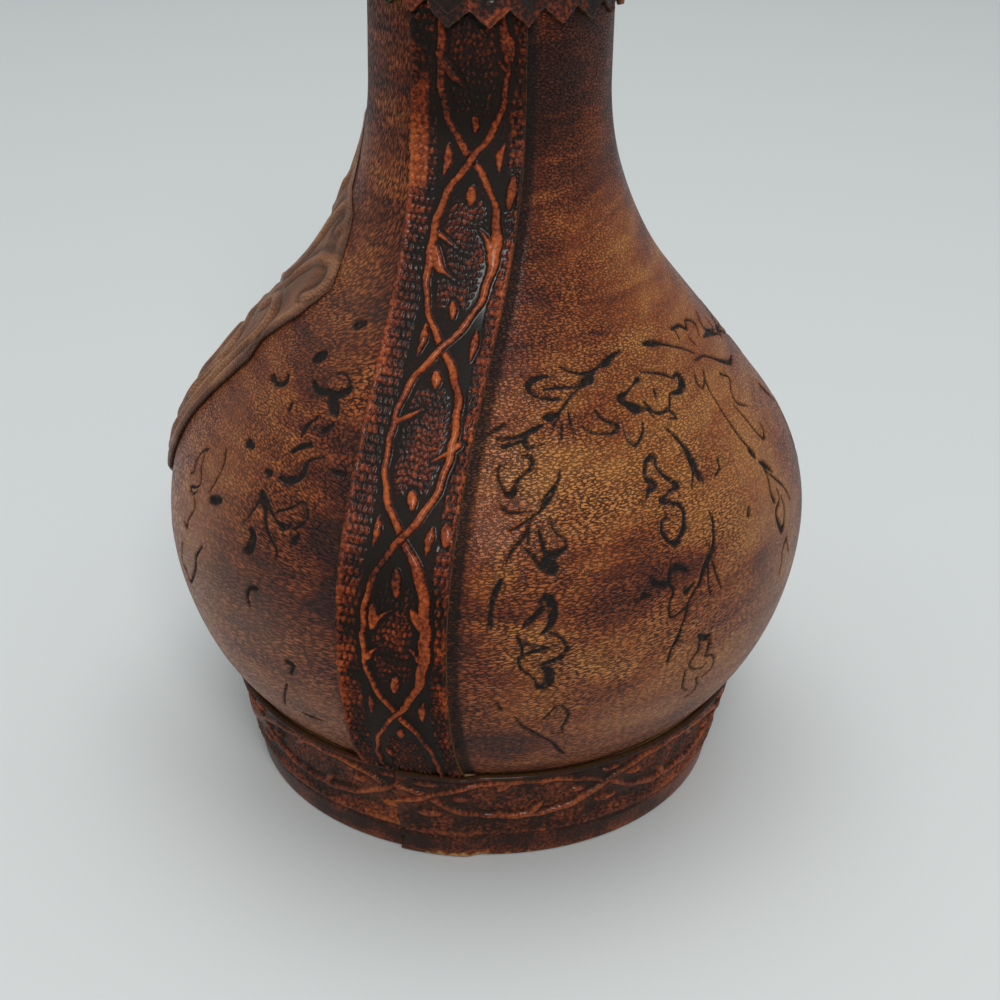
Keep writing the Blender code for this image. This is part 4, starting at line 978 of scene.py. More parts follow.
# The leaves, thorns and buds of the roller. A line is a list of points: right, up from the
# first crossing and width.
STRAP_LEAVES = (
    ((1, -5.4, 1.4), (1, -6.3, 1.9), (1.1, -7.4, 1)),
    ((-3, -13.9, 0.9), (-2.2, -15.5, 1), (-1.1, -15.6, 0.5)),
    ((-4.6, 4.6, 0.6), (-4.4, 2.2, 1.5), (-4.6, -0.7, 0.5)),
    ((6.8, 4.6, 0.6), (6.3, 1.8, 1.8), (6.2, -1, 0.5)),
    ((1.2, 10, 1.4), (1.1, 8.4, 2.1), (0.9, 6.9, 1.3)),
    ((-4.6, 14.2, 1.5), (-3.7, 15.6, 1), (-2.6, 16.6, 0.4)),
    ((6, 15.1, 1.2), (5.2, 16.7, 0.7), (4, 17.5, 0.3)),
    ((-3.6, 25.3, 1.4), (-3.3, 23, 2.3), (-3.5, 21.2, 1.4)),
    ((-2.5, 22.9, 1.2), (-1.1, 24.3, 0.7), (0.5, 25.3, 0.3)),
    ((6.9, 22.1, 2.2), (5.4, 24.1, 2.1), (4.5, 25.7, 1)),
    ((0.8, 33, 1.6), (1, 31.2, 2.4), (1.2, 28.6, 1.6)),
    ((-4.3, 43.2, 0.5), (-4.1, 40.6, 1.8), (-4.6, 37.2, 0.5)),
    ((6.9, 42.2, 0.6), (6.6, 39.8, 2), (6.3, 37, 0.7)),
    ((9.5, 42.8, 1.4), (9.8, 41, 2.6), (9.9, 39.2, 1.6)),
    ((1.6, 48.6, 1.5), (1.9, 47.4, 2.3), (2.2, 45.9, 1.5)),
    ((9, 59.2, 1.6), (7.7, 57.8, 1.3), (6.3, 56.9, 0.9), (4.4, 55.5, 0.5)),
    ((-4, 63, 1.3), (-2.4, 64.1, 1.3), (-0.9, 65.1, 1), (0.3, 66.1, 0.4)),
    ((7.8, 65.3, 0.8), (7.1, 64, 0.8), (6.5, 63, 0.4)),
    ((1.5, 73.8, 1.5), (1.8, 72.6, 2.2), (2, 71.3, 1.4)),
    ((-2.9, 84, 0.6), (-2.7, 81, 1.9), (-3.2, 77, 0.5)),
    ((7.5, 83.4, 0.6), (7.7, 80.5, 1.8), (7.6, 77, 0.5)),
    ((1.5, 89, 1.1), (1.9, 87.5, 1.7), (2.2, 86, 1.1)),
    ((-3.8, 100.1, 1.4), (-3.3, 97.9, 2.3), (-2.3, 95.9, 1.9), (-0.7, 94.9, 0.7), (0.9, 93.7, 0.3)),
    ((-3.3, 102.8, 1.2), (-1.5, 101.7, 0.8), (0.2, 100.4, 0.3)),
    ((4.3, 104.4, 0.5), (5.8, 102.8, 1), (6.8, 100.6, 1.4)),
    ((1.8, 112.8, 1.5), (1.9, 111.4, 2.2), (1.9, 110, 1.5)),
    ((9.8, 115, 1.4), (9.6, 112, 2.2), (9.4, 109, 1.2)),
    ((-3.2, 121.8, 0.6), (-3.1, 118.6, 2), (-3.9, 115.2, 0.6)),
    ((7.7, 121.8, 0.5), (6.8, 119.6, 1.7), (6.9, 115.9, 0.5)),
    ((1.9, 127.2, 1.4), (2, 126, 1.9), (2, 124.8, 1.3)),
    ((-4.3, 138.4, 1.4), (-2.2, 135.5, 2.1), (-0.2, 133.4, 0.4)),
    ((6.4, 138.5, 1), (7.9, 136.5, 0.6)),
    ((6.6, 145.5, 1), (7.9, 141.8, 3), (8.7, 138.9, 1)),
)


def vine_at(share):
    """How far a vine stands from the crossing line, at a share of the way to the next one."""
    angle = math.pi * share
    return VINE_REACH * np.sin(angle + 0.20 * np.sin(2.0 * angle))


def almond(x, y, place, size, turn=0.0, bend=0.0):
    """How far inside an almond-shaped leaf each point lies. It leans to the right by turn."""
    cos, sin = math.cos(math.radians(turn)), math.sin(math.radians(turn))
    dx, dy = x - place[0], y - place[1]
    up = dy * cos + dx * sin
    aside = dx * cos - dy * sin + bend * up * up
    half = size[0] / 2 * (1.0 - np.clip(2.0 * up / size[1], -1.0, 1.0) ** 2)
    return half - np.abs(aside) - np.maximum(np.abs(up) - size[1] / 2, 0.0)


def bricks(x, y, wide, high, chance, grown=0.0):
    """Rows of small pressed bricks, uneven in size: how far inside one each point lies. Where grown
    is 1 they almost touch."""
    row = np.floor(y / high)
    shift = 0.5 * (row % 2)
    column = np.floor(x / wide + shift)
    pick = (row.astype(int) * 7 + column.astype(int) * 3) % len(chance)
    uneven = chance[pick]
    u = (x / wide + shift - column - 0.5) * wide + 0.16 * wide * (uneven - 0.5)
    v = (y / high - row - 0.5) * high
    half_wide = wide * (0.35 + 0.09 * uneven + 0.11 * grown)
    half_high = high * (0.37 + 0.09 * chance[(pick * 5 + 2) % len(chance)] + 0.08 * grown)
    inside = 1.0 - (np.abs(u / half_wide) ** 4 + np.abs(v / half_high) ** 4) ** (1 / 4)
    return inside * np.minimum(half_wide, half_high), uneven


def rolled_leaves(x, t, m, gap):
    """The roller's plain leaves, where none are drawn: how far inside one each point lies. t and m
    run from the nearest crossing and from halfway to the next."""
    leaves = np.full(x.shape, OUTSIDE)
    for side in (-1, 1):
        leaves = np.maximum(leaves, almond(x, t, (0.1 * side, 7.2 * side), (2.1, 4.5)))
        leaves = np.maximum(leaves, almond(x, t, (5.6 * side, 0.3), (2.0, 6.4), 0.0, 0.05 * side))
        # Thorns on the inner sides of the vines lean the other way in every second gap.
        lean = np.where(gap % 2 == 0, 1.0, -1.0)
        for place, size, turn in (((4.4, 3.6), (1.9, 5.2), 50.0), ((5.2, -4.6), (1.2, 3.2), 24.0)):
            leaves = np.maximum(leaves, almond(x * lean, m, (side * place[0], -side * place[1]), size, turn))
    return leaves


def pressed_vines(x, y, left, right, chance, leaves=None, widths=None):
    """The rolled pattern, x across from the crossing line and y along from a crossing. It fills
    the strip between left and right. Returns height over the hollows and how much is rubbed tan."""
    number = np.round(y / VINE_PERIOD)
    gap = np.floor(y / VINE_PERIOD)
    t = y - number * VINE_PERIOD
    m = y - (gap + 0.5) * VINE_PERIOD
    slope = (vine_at((t + 0.1) / VINE_PERIOD) - vine_at((t - 0.1) / VINE_PERIOD)) / 0.2
    square = 1.0 / np.sqrt(1.0 + slope * slope)
    over_line = vine_at(t / VINE_PERIOD)
    wander = 0.18 * np.sin(y * 0.9 + 1.3 * number)
    away_over = np.abs(x - over_line - wander) * square
    away_under = np.abs(x + over_line - wander) * square
    if widths:
        at, on_left, on_right = np.array(widths).T
        share = ease(x, -1.0, 1.0)
        width = (1.0 - share) * np.interp(y, at, on_left) + share * np.interp(y, at, on_right)
    else:
        width = VINE_WIDTH * (1.0 + 0.12 * np.sin(y * 0.41))
    under = np.minimum(width / 2 - away_under, away_over - width / 2 - 0.12)
    vine = np.maximum(width / 2 - away_over, under)
    if leaves is None:
        leaves = rolled_leaves(x, t, m, gap)
    ragged = 0.11 * np.sin(5.3 * x + 2.1 * np.sin(3.7 * y)) + 0.09 * np.sin(6.1 * y + 1.9 * np.sin(4.9 * x))

    # The ground: large bricks in the margins and small ones in the gaps between the vines.
    opening = np.abs(vine_at((m + VINE_PERIOD / 2) / VINE_PERIOD))
    outer = np.maximum(opening + 1.3, 6.9)
    edge_share = ease(np.maximum(x - right + 4.6, left + 4.6 - x), 0.0, 3.4)
    grown = edge_share * ease(np.sin(y / 6.3 + 1.0) + 0.6 * np.sin(y / 2.7), -0.6, 1.1)
    brick, uneven = bricks(x + 0.2 * np.sin(y / 3.1), y, *MARGIN_BRICK, chance, grown)
    wavy = x - 0.4 + 0.25 * np.sin(y * 1.3)
    small, odd_small = bricks(wavy, y + 0.4 * np.sin(x), *GAP_BRICK, chance[::-1])
    in_margin = ease(np.abs(x) - outer, 0.0, 0.5)
    in_gap = ease(opening - 2.0 - np.abs(x) * 0.9, 0.0, 0.8) * ease(11.6 - np.abs(m), 0.0, 1.0)
    height, tan = np.zeros(x.shape), np.zeros(x.shape)
    for depth, odd, where, top in (
        (brick + 0.4 * ragged, uneven, in_margin, 0.40 + 0.24 * edge_share),
        (small + 0.5 * ragged, odd_small, in_gap, 0.38),
    ):
        height = np.maximum(height, (0.12 + 0.88 * ease(depth, 0.0, 0.30)) * where * (top + 0.16 * odd))
        rubbed = ease(depth, -0.06, 0.16) * (0.34 + 0.24 * edge_share + 0.28 * odd)
        tan = np.maximum(tan, where * np.maximum(rubbed, 0.11 + 0.12 * edge_share))
    carved = np.maximum(vine, leaves) + 0.3 * ragged
    clear = ease(-carved, 0.5, 0.9)
    height = np.maximum(height * clear, 0.80 * ease(carved, -0.05, 0.40) + 0.20 * ease(carved, 0.2, 1.0))
    tan = np.maximum(tan * clear, ease(carved, 0.0, 0.28))
    for rim, inwards, wide, bright in ((left, 1.0, 0.60, 0.70), (right, -1.0, 0.42, 0.62)):
        line = wide - np.abs((x - rim) * inwards - wide - 0.15) + 0.8 * ragged
        height = np.maximum(height, 0.62 * ease(line, -0.1, 0.35))
        tan = np.maximum(tan, bright * ease(line, -0.05, 0.22))
    return height, tan


def closed_strip(name, rows, look, marks, ring=False):
    """A solid strip, from points in metres. Each row is a closed loop of points round its section."""
    index = np.arange(rows.shape[0] * rows.shape[1]).reshape(rows.shape[:2])
    low, high = (index, np.roll(index, -1, 0)) if ring else (index[:-1], index[1:])
    corners = (low, np.roll(low, -1, 1), np.roll(high, -1, 1), high)
    faces = np.stack(corners, -1).reshape(-1, 4).tolist()
    if not ring:
        faces += [index[0][::-1].tolist(), index[-1].tolist()]
    return make_piece(name, rows, faces, look, marks)


def strip_section(width, grid, centre=0.0):
    """Across a strip: where its points lie, which are on its face, and how deep the others are."""
    face = np.linspace(-width / 2 + 0.25, width / 2 - 0.25, round(width / grid))
    back = np.linspace(width / 2 - 0.8, -width / 2 + 0.8, 8)
    across = np.concatenate([face, (width / 2, width / 2), back, (-width / 2, -width / 2)]) + centre
    depth = np.concatenate([0.0 * face, (0.30, 0.85), np.ones(8), (0.85, 0.30)])
    return across, depth == 0.0, depth


def make_strap(name, angle, drift, crossing, chance, look):
    covered = along_at(COLLAR_FOOT)
    seen = covered + 6.0
    along = np.arange(along_at(STRAP_FOOT), seen, STRAP_GRID)
    along = np.concatenate([along, np.linspace(seen, along_at(STRAP_TOP), 14)])
    across, on_face, depth = strip_section(STRAP_WIDTH, STRAP_GRID * 0.93)
    x, y = np.meshgrid(across, along)
    half = STRAP_WIDTH / 2
    # The roller ran a little right of the middle, and its relief ends below the collar.
    offset = (0.9 + 0.6 * ease(along, 40.0, 110.0))[:, None]
    hidden = ease(y, covered + 4.0, seen)
    leaves = np.full(x.shape, OUTSIDE)
    for drawn in STRAP_LEAVES:
        press_line(leaves, x, y - crossing, bent_line(drawn, 4), 3.0)
    left, right = 0.1 - half - offset, half - offset - 0.1
    vines, tan = pressed_vines(x - offset, y - crossing, left, right, chance, leaves, VINE_WIDTHS)
    # The tan dims along the strap: wear, and painted shade just under the collar.
    tan *= np.interp(y, *np.array(STRAP_WEAR_AND_SHADE).T)
    # The left margin is rubbed back to orange where the shoulder turns into the neck.
    orange = ease(-x, 6.8, 8.0) * ease(y, 137.0, 142.0) * ease(-y, -169.0, -162.0)
    tan = np.maximum(tan * (1.0 + 0.5 * orange), 0.70 * orange)
    worn = 1.0 + 0.08 * np.sin(y / 5.0 + x / 3.0)
    face = STRAP_FLOOR + STRAP_RELIEF * vines * worn * (1.0 - 0.8 * hidden)
    face = face - 0.25 * ease(np.abs(x), half - 0.7, half)
    lift = CLEARANCE + np.where(on_face, face, (STRAP_FLOOR + STRAP_EDGE) * (1.0 - depth))
    shift = drift(along)[:, None] if drift else 0.0
    marks = {
        "lay": np.stack([x, y, 0.0 * x], -1),
        "tan": np.where(on_face, tan, 0.0),
        "bare": np.where(on_face, 0.0 * x, 0.25),
        "matt": np.maximum(ease(y, 148.0, 160.0), ease(-y, -76.0, -52.0)),
    }
    return closed_strip(name, on_leather(y, angle + (x + shift) / radius_at(y), lift), look, marks)


def leather_pebbles(tree, vector, per_mm, dimensions="2D"):
    """Pebbled grain: 0 in the creases and 1 on the pebbles, uneven in size."""
    return soft_step(tree, cell_edges(tree, vector, per_mm, 0.7, 0.9, 0.9, dimensions), 0.01, 0.2)


STRAP_COLOURS = ((0.013, 0.0085, 0.0065), (0.074, 0.015, 0.007), (0.225, 0.041, 0.012), (0.450, 0.102, 0.022))
STRAP_BARE = (0.560, 0.270, 0.080)


def make_embossed_look(name, colours=STRAP_COLOURS, dimensions="2D"):
    """Rolled leather: black in the hollows, red-brown on the bricks, rubbed to tan on the vines."""
    look, tree, shader = new_finish(
        name, Coat_Weight=0.42, Coat_Roughness=0.17, Coat_IOR=1.48, Specular_IOR_Level=0.06
    )
    lay = mark(tree, "lay", "Vector")
    rubbed = mark(tree, "tan")
    fine = noise(tree, lay, 1.1, 4.0, 0.65)
    wear = soft_step(tree, noise(tree, lay, 0.09, 4.0, 0.6, 0.6), 0.34, 0.64, -0.24, 0.16)
    uneven = soft_step(tree, fine, 0.36, 0.62, -0.34, 0.10)
    tone = weighted(tree, (rubbed, 0.84), (uneven, 1.0), start=wear)
    tone = product(tree, tone, soft_step(tree, rubbed, 0.02, 0.20, 0.35, 1.0))
    dyed = colour_ramp(tree, tone, tuple(zip((0.02, 0.24, 0.52, 0.92), colours)))
    bare = product(tree, mark(tree, "bare"), soft_step(tree, fine, 0.3, 0.6, 0.5, 1.0))
    dress(
        tree, shader, Base_Color=colour_mix(tree, bare, dyed, STRAP_BARE),
        Roughness=soft_step(tree, fine, 0.2, 0.8, 0.30, 0.52),
        Coat_Weight=soft_step(tree, mark(tree, "matt"), 0.0, 1.0, 0.42, 0.06)
    )
    creases = leather_pebbles(tree, lay, 1.7, dimensions)
    bump(tree, shader, weighted(tree, (creases, 0.35), start=noise(tree, lay, 3.4, 3.0, 0.65)), 0.00012)
    return look


brick_chance = np.random.default_rng(11).random(97)
strap_look = make_embossed_look("strap_leather")
right_strap = make_strap("rolled_right_strap", 0.0, strap_drift, FIRST_CROSSING, brick_chance, strap_look)
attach(right_strap, "decanter")
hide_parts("right_strap")

left_strap = make_strap("rolled_left_strap", math.pi, None, LEFT_CROSSING, brick_chance[::-1], strap_look)
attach(left_strap, "decanter")
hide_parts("left_strap")

# Foot band
# One long strip of the same rolled leather, glued round the foot ring. Its pinked end laps over
# its other end just under the strap. Its lower border is plain, and bare leather shows at the
# floor where the dye has rubbed off.

BAND_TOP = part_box("foot_band")[1].z / MM
BAND_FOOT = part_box("foot_band")[0].z / MM
BAND_BOTTOM_RADIUS = 55.5
BAND_TOP_RADIUS = radius_at(along_at(BAND_TOP)) + CLEARANCE
BAND_SEAM = math.radians(-2.5)
BAND_LAP = 12.0
BAND_STEP = 1.15  # how far the lap lifts the upper end
BAND_GRID = 0.35
BAND_VINES = 19.7  # height of the vines' crossing line
BAND_PRESSED = 7.2  # height below which the strip is plain
BAND_FIRST_CROSSING = 4.6
PINKED = 2.8  # depth of the teeth of its end
PINKED_EVERY = 5.2
# Paler stretches of the band. The wide one round to the right, at 76 mm along, is a painted sheen of the
# light from that side.
BAND_PALER_AND_SHEEN = ((76.0, 17.0, 0.26), (12.0, 9.0, 0.10))  # length along, reach and how much
BAND_COLOURS = ((0.022, 0.010, 0.006), (0.072, 0.018, 0.008), (0.190, 0.042, 0.013), (0.385, 0.098, 0.023))


def make_foot_band(name, chance, look):
    heights, on_face, depth = strip_section(BAND_TOP - BAND_FOOT, BAND_GRID, (BAND_TOP + BAND_FOOT) / 2)
    middle = (BAND_BOTTOM_RADIUS + BAND_TOP_RADIUS) / 2
    length = 2.0 * math.pi * middle + BAND_LAP
    z, y = np.meshgrid(heights, np.linspace(0.0, length, round(length / BAND_GRID)))
    x = z - BAND_VINES
    low = BAND_PRESSED - BAND_VINES
    vines, tan = pressed_vines(np.where(x > 0.0, x * 1.4, x), y - BAND_FIRST_CROSSING, low, 8.2, chance)
    pressed = ease(x, low - 0.1, low + 0.2)
    border = ease(x, 4.9, 5.4)
    shown = pressed * (1.0 - border)
    face = STRAP_FLOOR + STRAP_RELIEF * vines * shown + 0.35 * border
    face += 0.45 * ease(z, BAND_TOP - 1.8, BAND_TOP - 0.4) + 0.30 * ease(-x, 0.6 - low, 1.2 - low)
    # The last stretch lies flat under the lap, and the first is stepped up over it.
    under = ease(y, length - BAND_LAP - 3.0, length - BAND_LAP - 1.0)
    face = face * (1.0 - under) + 0.6 * under
    lift = np.where(on_face, face, (STRAP_FLOOR + STRAP_EDGE) * (1.0 - depth))
    lift += BAND_STEP * (1.0 - ease(y, BAND_LAP, BAND_LAP + 4.5))
    radius = BAND_BOTTOM_RADIUS + (BAND_TOP_RADIUS - BAND_BOTTOM_RADIUS) * z / BAND_TOP + lift
    tooth = np.abs(((z - 1.0) / PINKED_EVERY) % 1.0 - 0.5) * 2.0
    angle = BAND_SEAM + (y - PINKED * tooth * (1.0 - ease(y, 0.0, 5.0))) / middle
    beside_lap = np.exp(-(((y - length + BAND_LAP + 6.0) / 9.0) ** 2)) * ease(-x, -1.0, 2.0)
    # Painted sheen: the band is made paler round to the right, where light from that side shines on it.
    paler = sum(amount * np.exp(-(((y - at) / reach) ** 2)) for at, reach, amount in BAND_PALER_AND_SHEEN)
    rubbed = (0.18 + 0.56 * tan + 0.34 * beside_lap + paler) * shown + 0.18 * border
    rubbed = np.maximum(rubbed, 0.55 * ease(-y, -0.9, -0.4) * pressed)
    rubbed += (0.30 + paler + 0.26 * ease(-z, -3.4, -1.0)) * (1.0 - pressed)
    # Bare flecks at the floor, not far from the pinked end.
    fleck = ease(1.5 - z + 0.8 * np.sin(y * 1.7) * np.sin(y * 0.6), 0.0, 0.5)
    fleck *= ease(y, 4.5, 7.0) * ease(-y, -19.0, -15.0)
    specks = ease(0.4 - z + np.sin(y * 1.9) * np.sin(y * 0.5), 0.0, 0.5) * ease(-y, -40.0, -30.0)
    fleck = np.maximum(fleck, specks)
    marks = {
        "lay": np.stack([z, y, 0.0 * z], -1),
        "tan": np.where(on_face, rubbed, 0.0),
        "bare": np.where(on_face, fleck, 0.10),
        "matt": np.full(y.shape, 0.45),
    }
    return closed_strip(name, round_axis(radius, angle, z) * MM, look, marks)


band_look = make_embossed_look("foot_band_leather", BAND_COLOURS)
foot_band = make_foot_band("rolled_foot_band", brick_chance, band_look)
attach(foot_band, "decanter")
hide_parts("foot_band")

# Crest
# A cartouche cut from thicker leather, modelled with scrolls and a plain shield, and glued on
# the front panel. Its ribs follow the cut edge. The leather is pared thinner towards its upper
# end, and there its edge lies down on the panel.

CREST_TOP = 159.0
CREST_FOOT = 60.0
CREST_HALF_WIDTH = 32.0
CREST_THICK = 1.25
CREST_BODY = 0.45  # how far its middle swells over its edge
CREST_RIB = 0.64
CREST_EDGE_RIB = 0.20  # the low rib along the cut edge
CREST_HOLLOW = 0.35  # how deep the leather is pressed beside the ribs
CREST_GRID = 0.36
CREST_COLOURS = (
    (0.30, (0.052, 0.017, 0.008)), (0.46, (0.160, 0.055, 0.022)), (0.62, (0.300, 0.120, 0.046)),
    (0.80, (0.460, 0.220, 0.095)),
)
# Half its outline: share of the height, share of the half width.
CREST_OUTLINE = (
    (0, 0.04), (0.04, 0.3), (0.12, 0.66), (0.22, 0.82), (0.36, 0.84), (0.46, 0.92), (0.5, 0.84),
    (0.58, 0.97), (0.65, 1), (0.72, 0.82), (0.79, 0.66), (0.83, 0.42), (0.9, 0.3), (0.97, 0.22), (1, 0.04),
)
# Raised scrolls on one half, mirrored on the other: right of the middle line, up from the
# crest's foot along the leather, and width.
CREST_RIBS = (
    ((0, 4, 1), (9, 9, 1.2), (18, 19, 1.4), (22, 32, 1.4), (22, 45, 1.4), (23.5, 56, 1.8), (21, 63, 2.2),
     (15, 64, 1.6), (13, 59, 1.2)),
    ((0, 13, 1), (6, 16, 1.2), (13.5, 26, 1.4), (16, 38, 1.4), (15.5, 50, 1.2), (0, 54, 1)),
    ((17.5, 31, 1), (18, 38, 1.2), (20, 43.5, 1.2), (21.5, 40, 1.1), (20.5, 34, 0.9)),
    ((15, 68, 1.2), (16.5, 74, 1.6), (20, 79, 2), (24.5, 81, 2.2), (28.5, 79, 2), (29.5, 74, 1.6),
     (27.5, 71, 1.2)),
    ((0, 63, 1.2), (8, 67, 1.4), (11.5, 76, 1.5), (12.5, 86, 1.6), (16, 92.5, 1.8), (20, 91, 1.6),
     (19.5, 87, 1.2)),
    ((0, 84, 1.1), (5.5, 90, 1.3), (7.5, 99, 1.5), (6.5, 107, 1.4), (3, 111, 1)),
    ((0, 24, 0.9), (5, 30, 1.1), (6, 38, 1.1), (0, 45, 0.9)),
)


def make_crest(name, look):
    foot, top = along_at(CREST_FOOT), along_at(CREST_TOP)
    columns = round(2 * CREST_HALF_WIDTH / CREST_GRID)
    along = np.linspace(foot, top, round((top - foot) / CREST_GRID))[:, None]
    share = (np.interp(along, LEATHER_ALONG, LEATHER_OUTLINE[1]) - CREST_FOOT) / (CREST_TOP - CREST_FOOT)
    half = CREST_HALF_WIDTH * np.interp(share, *np.array(CREST_OUTLINE).T)
    across = np.concatenate([np.linspace(-1.0, 1.0, columns), (1, 1), np.linspace(0.97, -0.97, 10), (-1, -1)])
    depth = np.concatenate([np.zeros(columns), (0.3, 0.9), np.ones(10), (0.9, 0.3)])
    on_face = depth == 0.0
    x = across * half
    y = along - foot + 0.0 * x
    to_edge = np.minimum(half - np.abs(x), np.minimum(y, top - foot - y) + 1.5)
    ribs = np.full(x.shape, OUTSIDE)
    for drawn in CREST_RIBS:
        ribs = np.maximum(ribs, line_depth(np.abs(x), y, bent_line(drawn, 6)))
    edge_rib = 0.9 - np.abs(to_edge - 2.6)
    body = CREST_THICK * (0.55 + 0.45 * ease(to_edge, 0.0, 1.4)) + CREST_BODY * ease(to_edge, 4.0, 11.0)
    raised = np.maximum(CREST_RIB * ease(ribs, -0.8, 0.6), CREST_EDGE_RIB * ease(edge_rib, -0.5, 0.7))
    hollow = ease(ribs, -2.6, -1.1) * ease(-ribs, 0.7, 1.1)
    pared = ease(y, 40.0, 80.0)
    skived = ease(y, 62.0, 84.0) * ease(-to_edge, -9.0, -0.5)
    face = body * (1.0 - 0.45 * pared) + (raised - CREST_HOLLOW * hollow) * (1.0 - 0.2 * pared)
    face = face * (1.0 - 0.72 * skived) + 0.12 * np.sin(x * 0.7 + y * 0.3) * ease(to_edge, 3.0, 6.0)
    side = np.minimum(face, CREST_THICK * 0.55) * (1.0 - depth)
    lift = CLEARANCE * (1.0 - 0.6 * skived) + np.where(on_face, face, side)
    # Painted shade: darker in the hollows beside the ribs, on the cut edge and within a millimetre of it.
    dark = np.where(on_face, np.maximum(hollow, ease(-to_edge, -1.2, -0.2)), 1.0)
    marks = {
        "lay": np.stack([x, y, 0.0 * x], -1),
        "rubbed": np.where(on_face, ease(np.maximum(ribs, edge_rib), -0.4, 0.6), 0.0),
        "dark": dark * (1.0 - 0.7 * skived),
    }
    points = on_leather(y + foot, -math.pi / 2 + x / radius_at(y + foot), lift)
    return closed_strip(name, points, look, marks)


def make_crest_look(name):
    """Thick leather left brown, with painted shade in its hollows and along its cut edge."""
    look, tree, shader = new_finish(
        name, Coat_Weight=0.16, Coat_Roughness=0.34, Specular_IOR_Level=0.22, Sheen_Weight=0.30,
        Sheen_Roughness=0.35, Sheen_Tint=(1.0, 0.62, 0.42, 1.0)
    )
    lay = mark(tree, "lay", "Vector")
    pebbles = leather_pebbles(tree, stretch(tree, lay, (1.0, 0.7, 1.0)), 1.5)
    creased = soft_step(tree, pebbles, 0.0, 1.0, 0.17, 0.0)
    clouds = noise(tree, lay, 0.07, 5.0, 0.62, 0.6)
    tone = weighted(
        tree, (mark(tree, "rubbed"), 0.14), (mark(tree, "dark"), -0.22), (creased, -1.0), start=clouds
    )
    rough = soft_step(tree, pebbles, 0.0, 1.0, 0.62, 0.46)
    dress(tree, shader, Base_Color=colour_ramp(tree, tone, CREST_COLOURS), Roughness=rough)
    bump(tree, shader, weighted(tree, (noise(tree, lay, 3.5), 0.4), start=pebbles), 0.00026)
    return look


crest = make_crest("modelled_crest", make_crest_look("crest_leather"))
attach(crest, "decanter")
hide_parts("front_crest")

# Neck collar
# A strip of the rolled leather round the neck, over the ends of the straps. Its lower edge is
# pinked, and the cut edges are paler than the dyed face. It was wound with a slight rise, so
# its teeth meet at a step beside the strap.

COLLAR_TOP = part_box("neck_collar")[1].z / MM
COLLAR_SEAM = math.radians(-11.0)
COLLAR_LAP = 7.0
COLLAR_TEETH = 23
FIRST_TOOTH = math.radians(-2.4)
TOOTH_DEPTH = 3.6
COLLAR_FLOOR = 1.05
COLLAR_RELIEF = 0.75
COLLAR_GRID = 0.28
COLLAR_RISE = 2.4
COLLAR_VINES = 194.4  # height of the vines' crossing line
COLLAR_FIRST_CROSSING = 11.0
COLLAR_OVER_STRAP = 1.8  # how far it is lifted where a strap lies under it
COLLAR_OVER_LAP = 1.7
COLLAR_TONES = (0.34, 1.0, 0.40, 0.62, 0.50, 0.60, 0.80)  # how rubbed each tooth is, in turn


def make_collar(name, chance, look):
    middle = NECK_RADIUS + 2.0
    length = 2.0 * math.pi * middle + COLLAR_LAP
    width = COLLAR_TOP - COLLAR_FOOT
    across, on_face, depth = strip_section(width, COLLAR_GRID)
    share, y = np.meshgrid(across / width + 0.5, np.linspace(0.0, length, round(length / COLLAR_GRID)))
    angle = COLLAR_SEAM + y / middle
    turn = (angle - FIRST_TOOTH) / (2.0 * math.pi) * COLLAR_TEETH
    number = np.round(turn).astype(int) % COLLAR_TEETH
    tooth = np.abs(turn - np.round(turn)) * 2.0
    edge = COLLAR_FOOT + TOOTH_DEPTH * (0.86 + 0.22 * chance[number]) * tooth
    edge += COLLAR_RISE * ease(y, 0.45 * length, 0.85 * length) + 0.10 * np.sin(y * 2.9)
    z = edge + (COLLAR_TOP - edge) * share
    low, high = COLLAR_FOOT - COLLAR_VINES - 0.4, COLLAR_TOP - COLLAR_VINES
    vines, tan = pressed_vines(z - COLLAR_VINES, y - COLLAR_FIRST_CROSSING, low, high, chance)
    worn = ease(edge + 5.5 - z, 0.0, 4.0) * (0.55 + 0.45 * chance[(y / 1.4).astype(int) % len(chance)])
    face = COLLAR_FLOOR + COLLAR_RELIEF * np.maximum(vines, 0.6 * worn)
    # The last stretch lies flat under the lap.
    under = ease(y, length - COLLAR_LAP - 3.0, length - COLLAR_LAP - 1.0)
    face = face * (1.0 - under) + 1.3 * under
    to_strap = np.abs((angle + math.pi / 2) % math.pi - math.pi / 2) * NECK_RADIUS
    ride = COLLAR_OVER_STRAP * (1.0 - ease(to_strap, STRAP_WIDTH / 2 + 0.2, STRAP_WIDTH / 2 + 3.2))
    ride = np.maximum(ride, COLLAR_OVER_LAP * (1.0 - ease(y, COLLAR_LAP, COLLAR_LAP + 2.5)))
    curl = 0.35 * ease(edge + 3.0 - z, 0.0, 3.0) * (1.0 - tooth)
    radius = NECK_RADIUS + CLEARANCE + ride + curl + np.where(on_face, face, 0.9 * (1.0 - depth))
    tone = np.take(COLLAR_TONES, number % len(COLLAR_TONES))
    marks = {
        "lay": np.stack([z, y, 0.0 * z], -1),
        "tan": np.where(on_face, tone * np.maximum(0.8 * tan, 0.62 * worn), 0.16),
        "bare": np.where(on_face, 0.10 * ease(edge + 0.50 - z, 0.0, 0.25), 0.05),
    }
    return closed_strip(name, round_axis(radius, angle, z) * MM, look, marks)


collar = make_collar("pinked_collar", brick_chance, make_embossed_look("collar_leather"))
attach(collar, "decanter")
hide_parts("neck_collar")

# Lip ring
# A strip of panel leather rolled over the mouth of the bottle and down its neck.

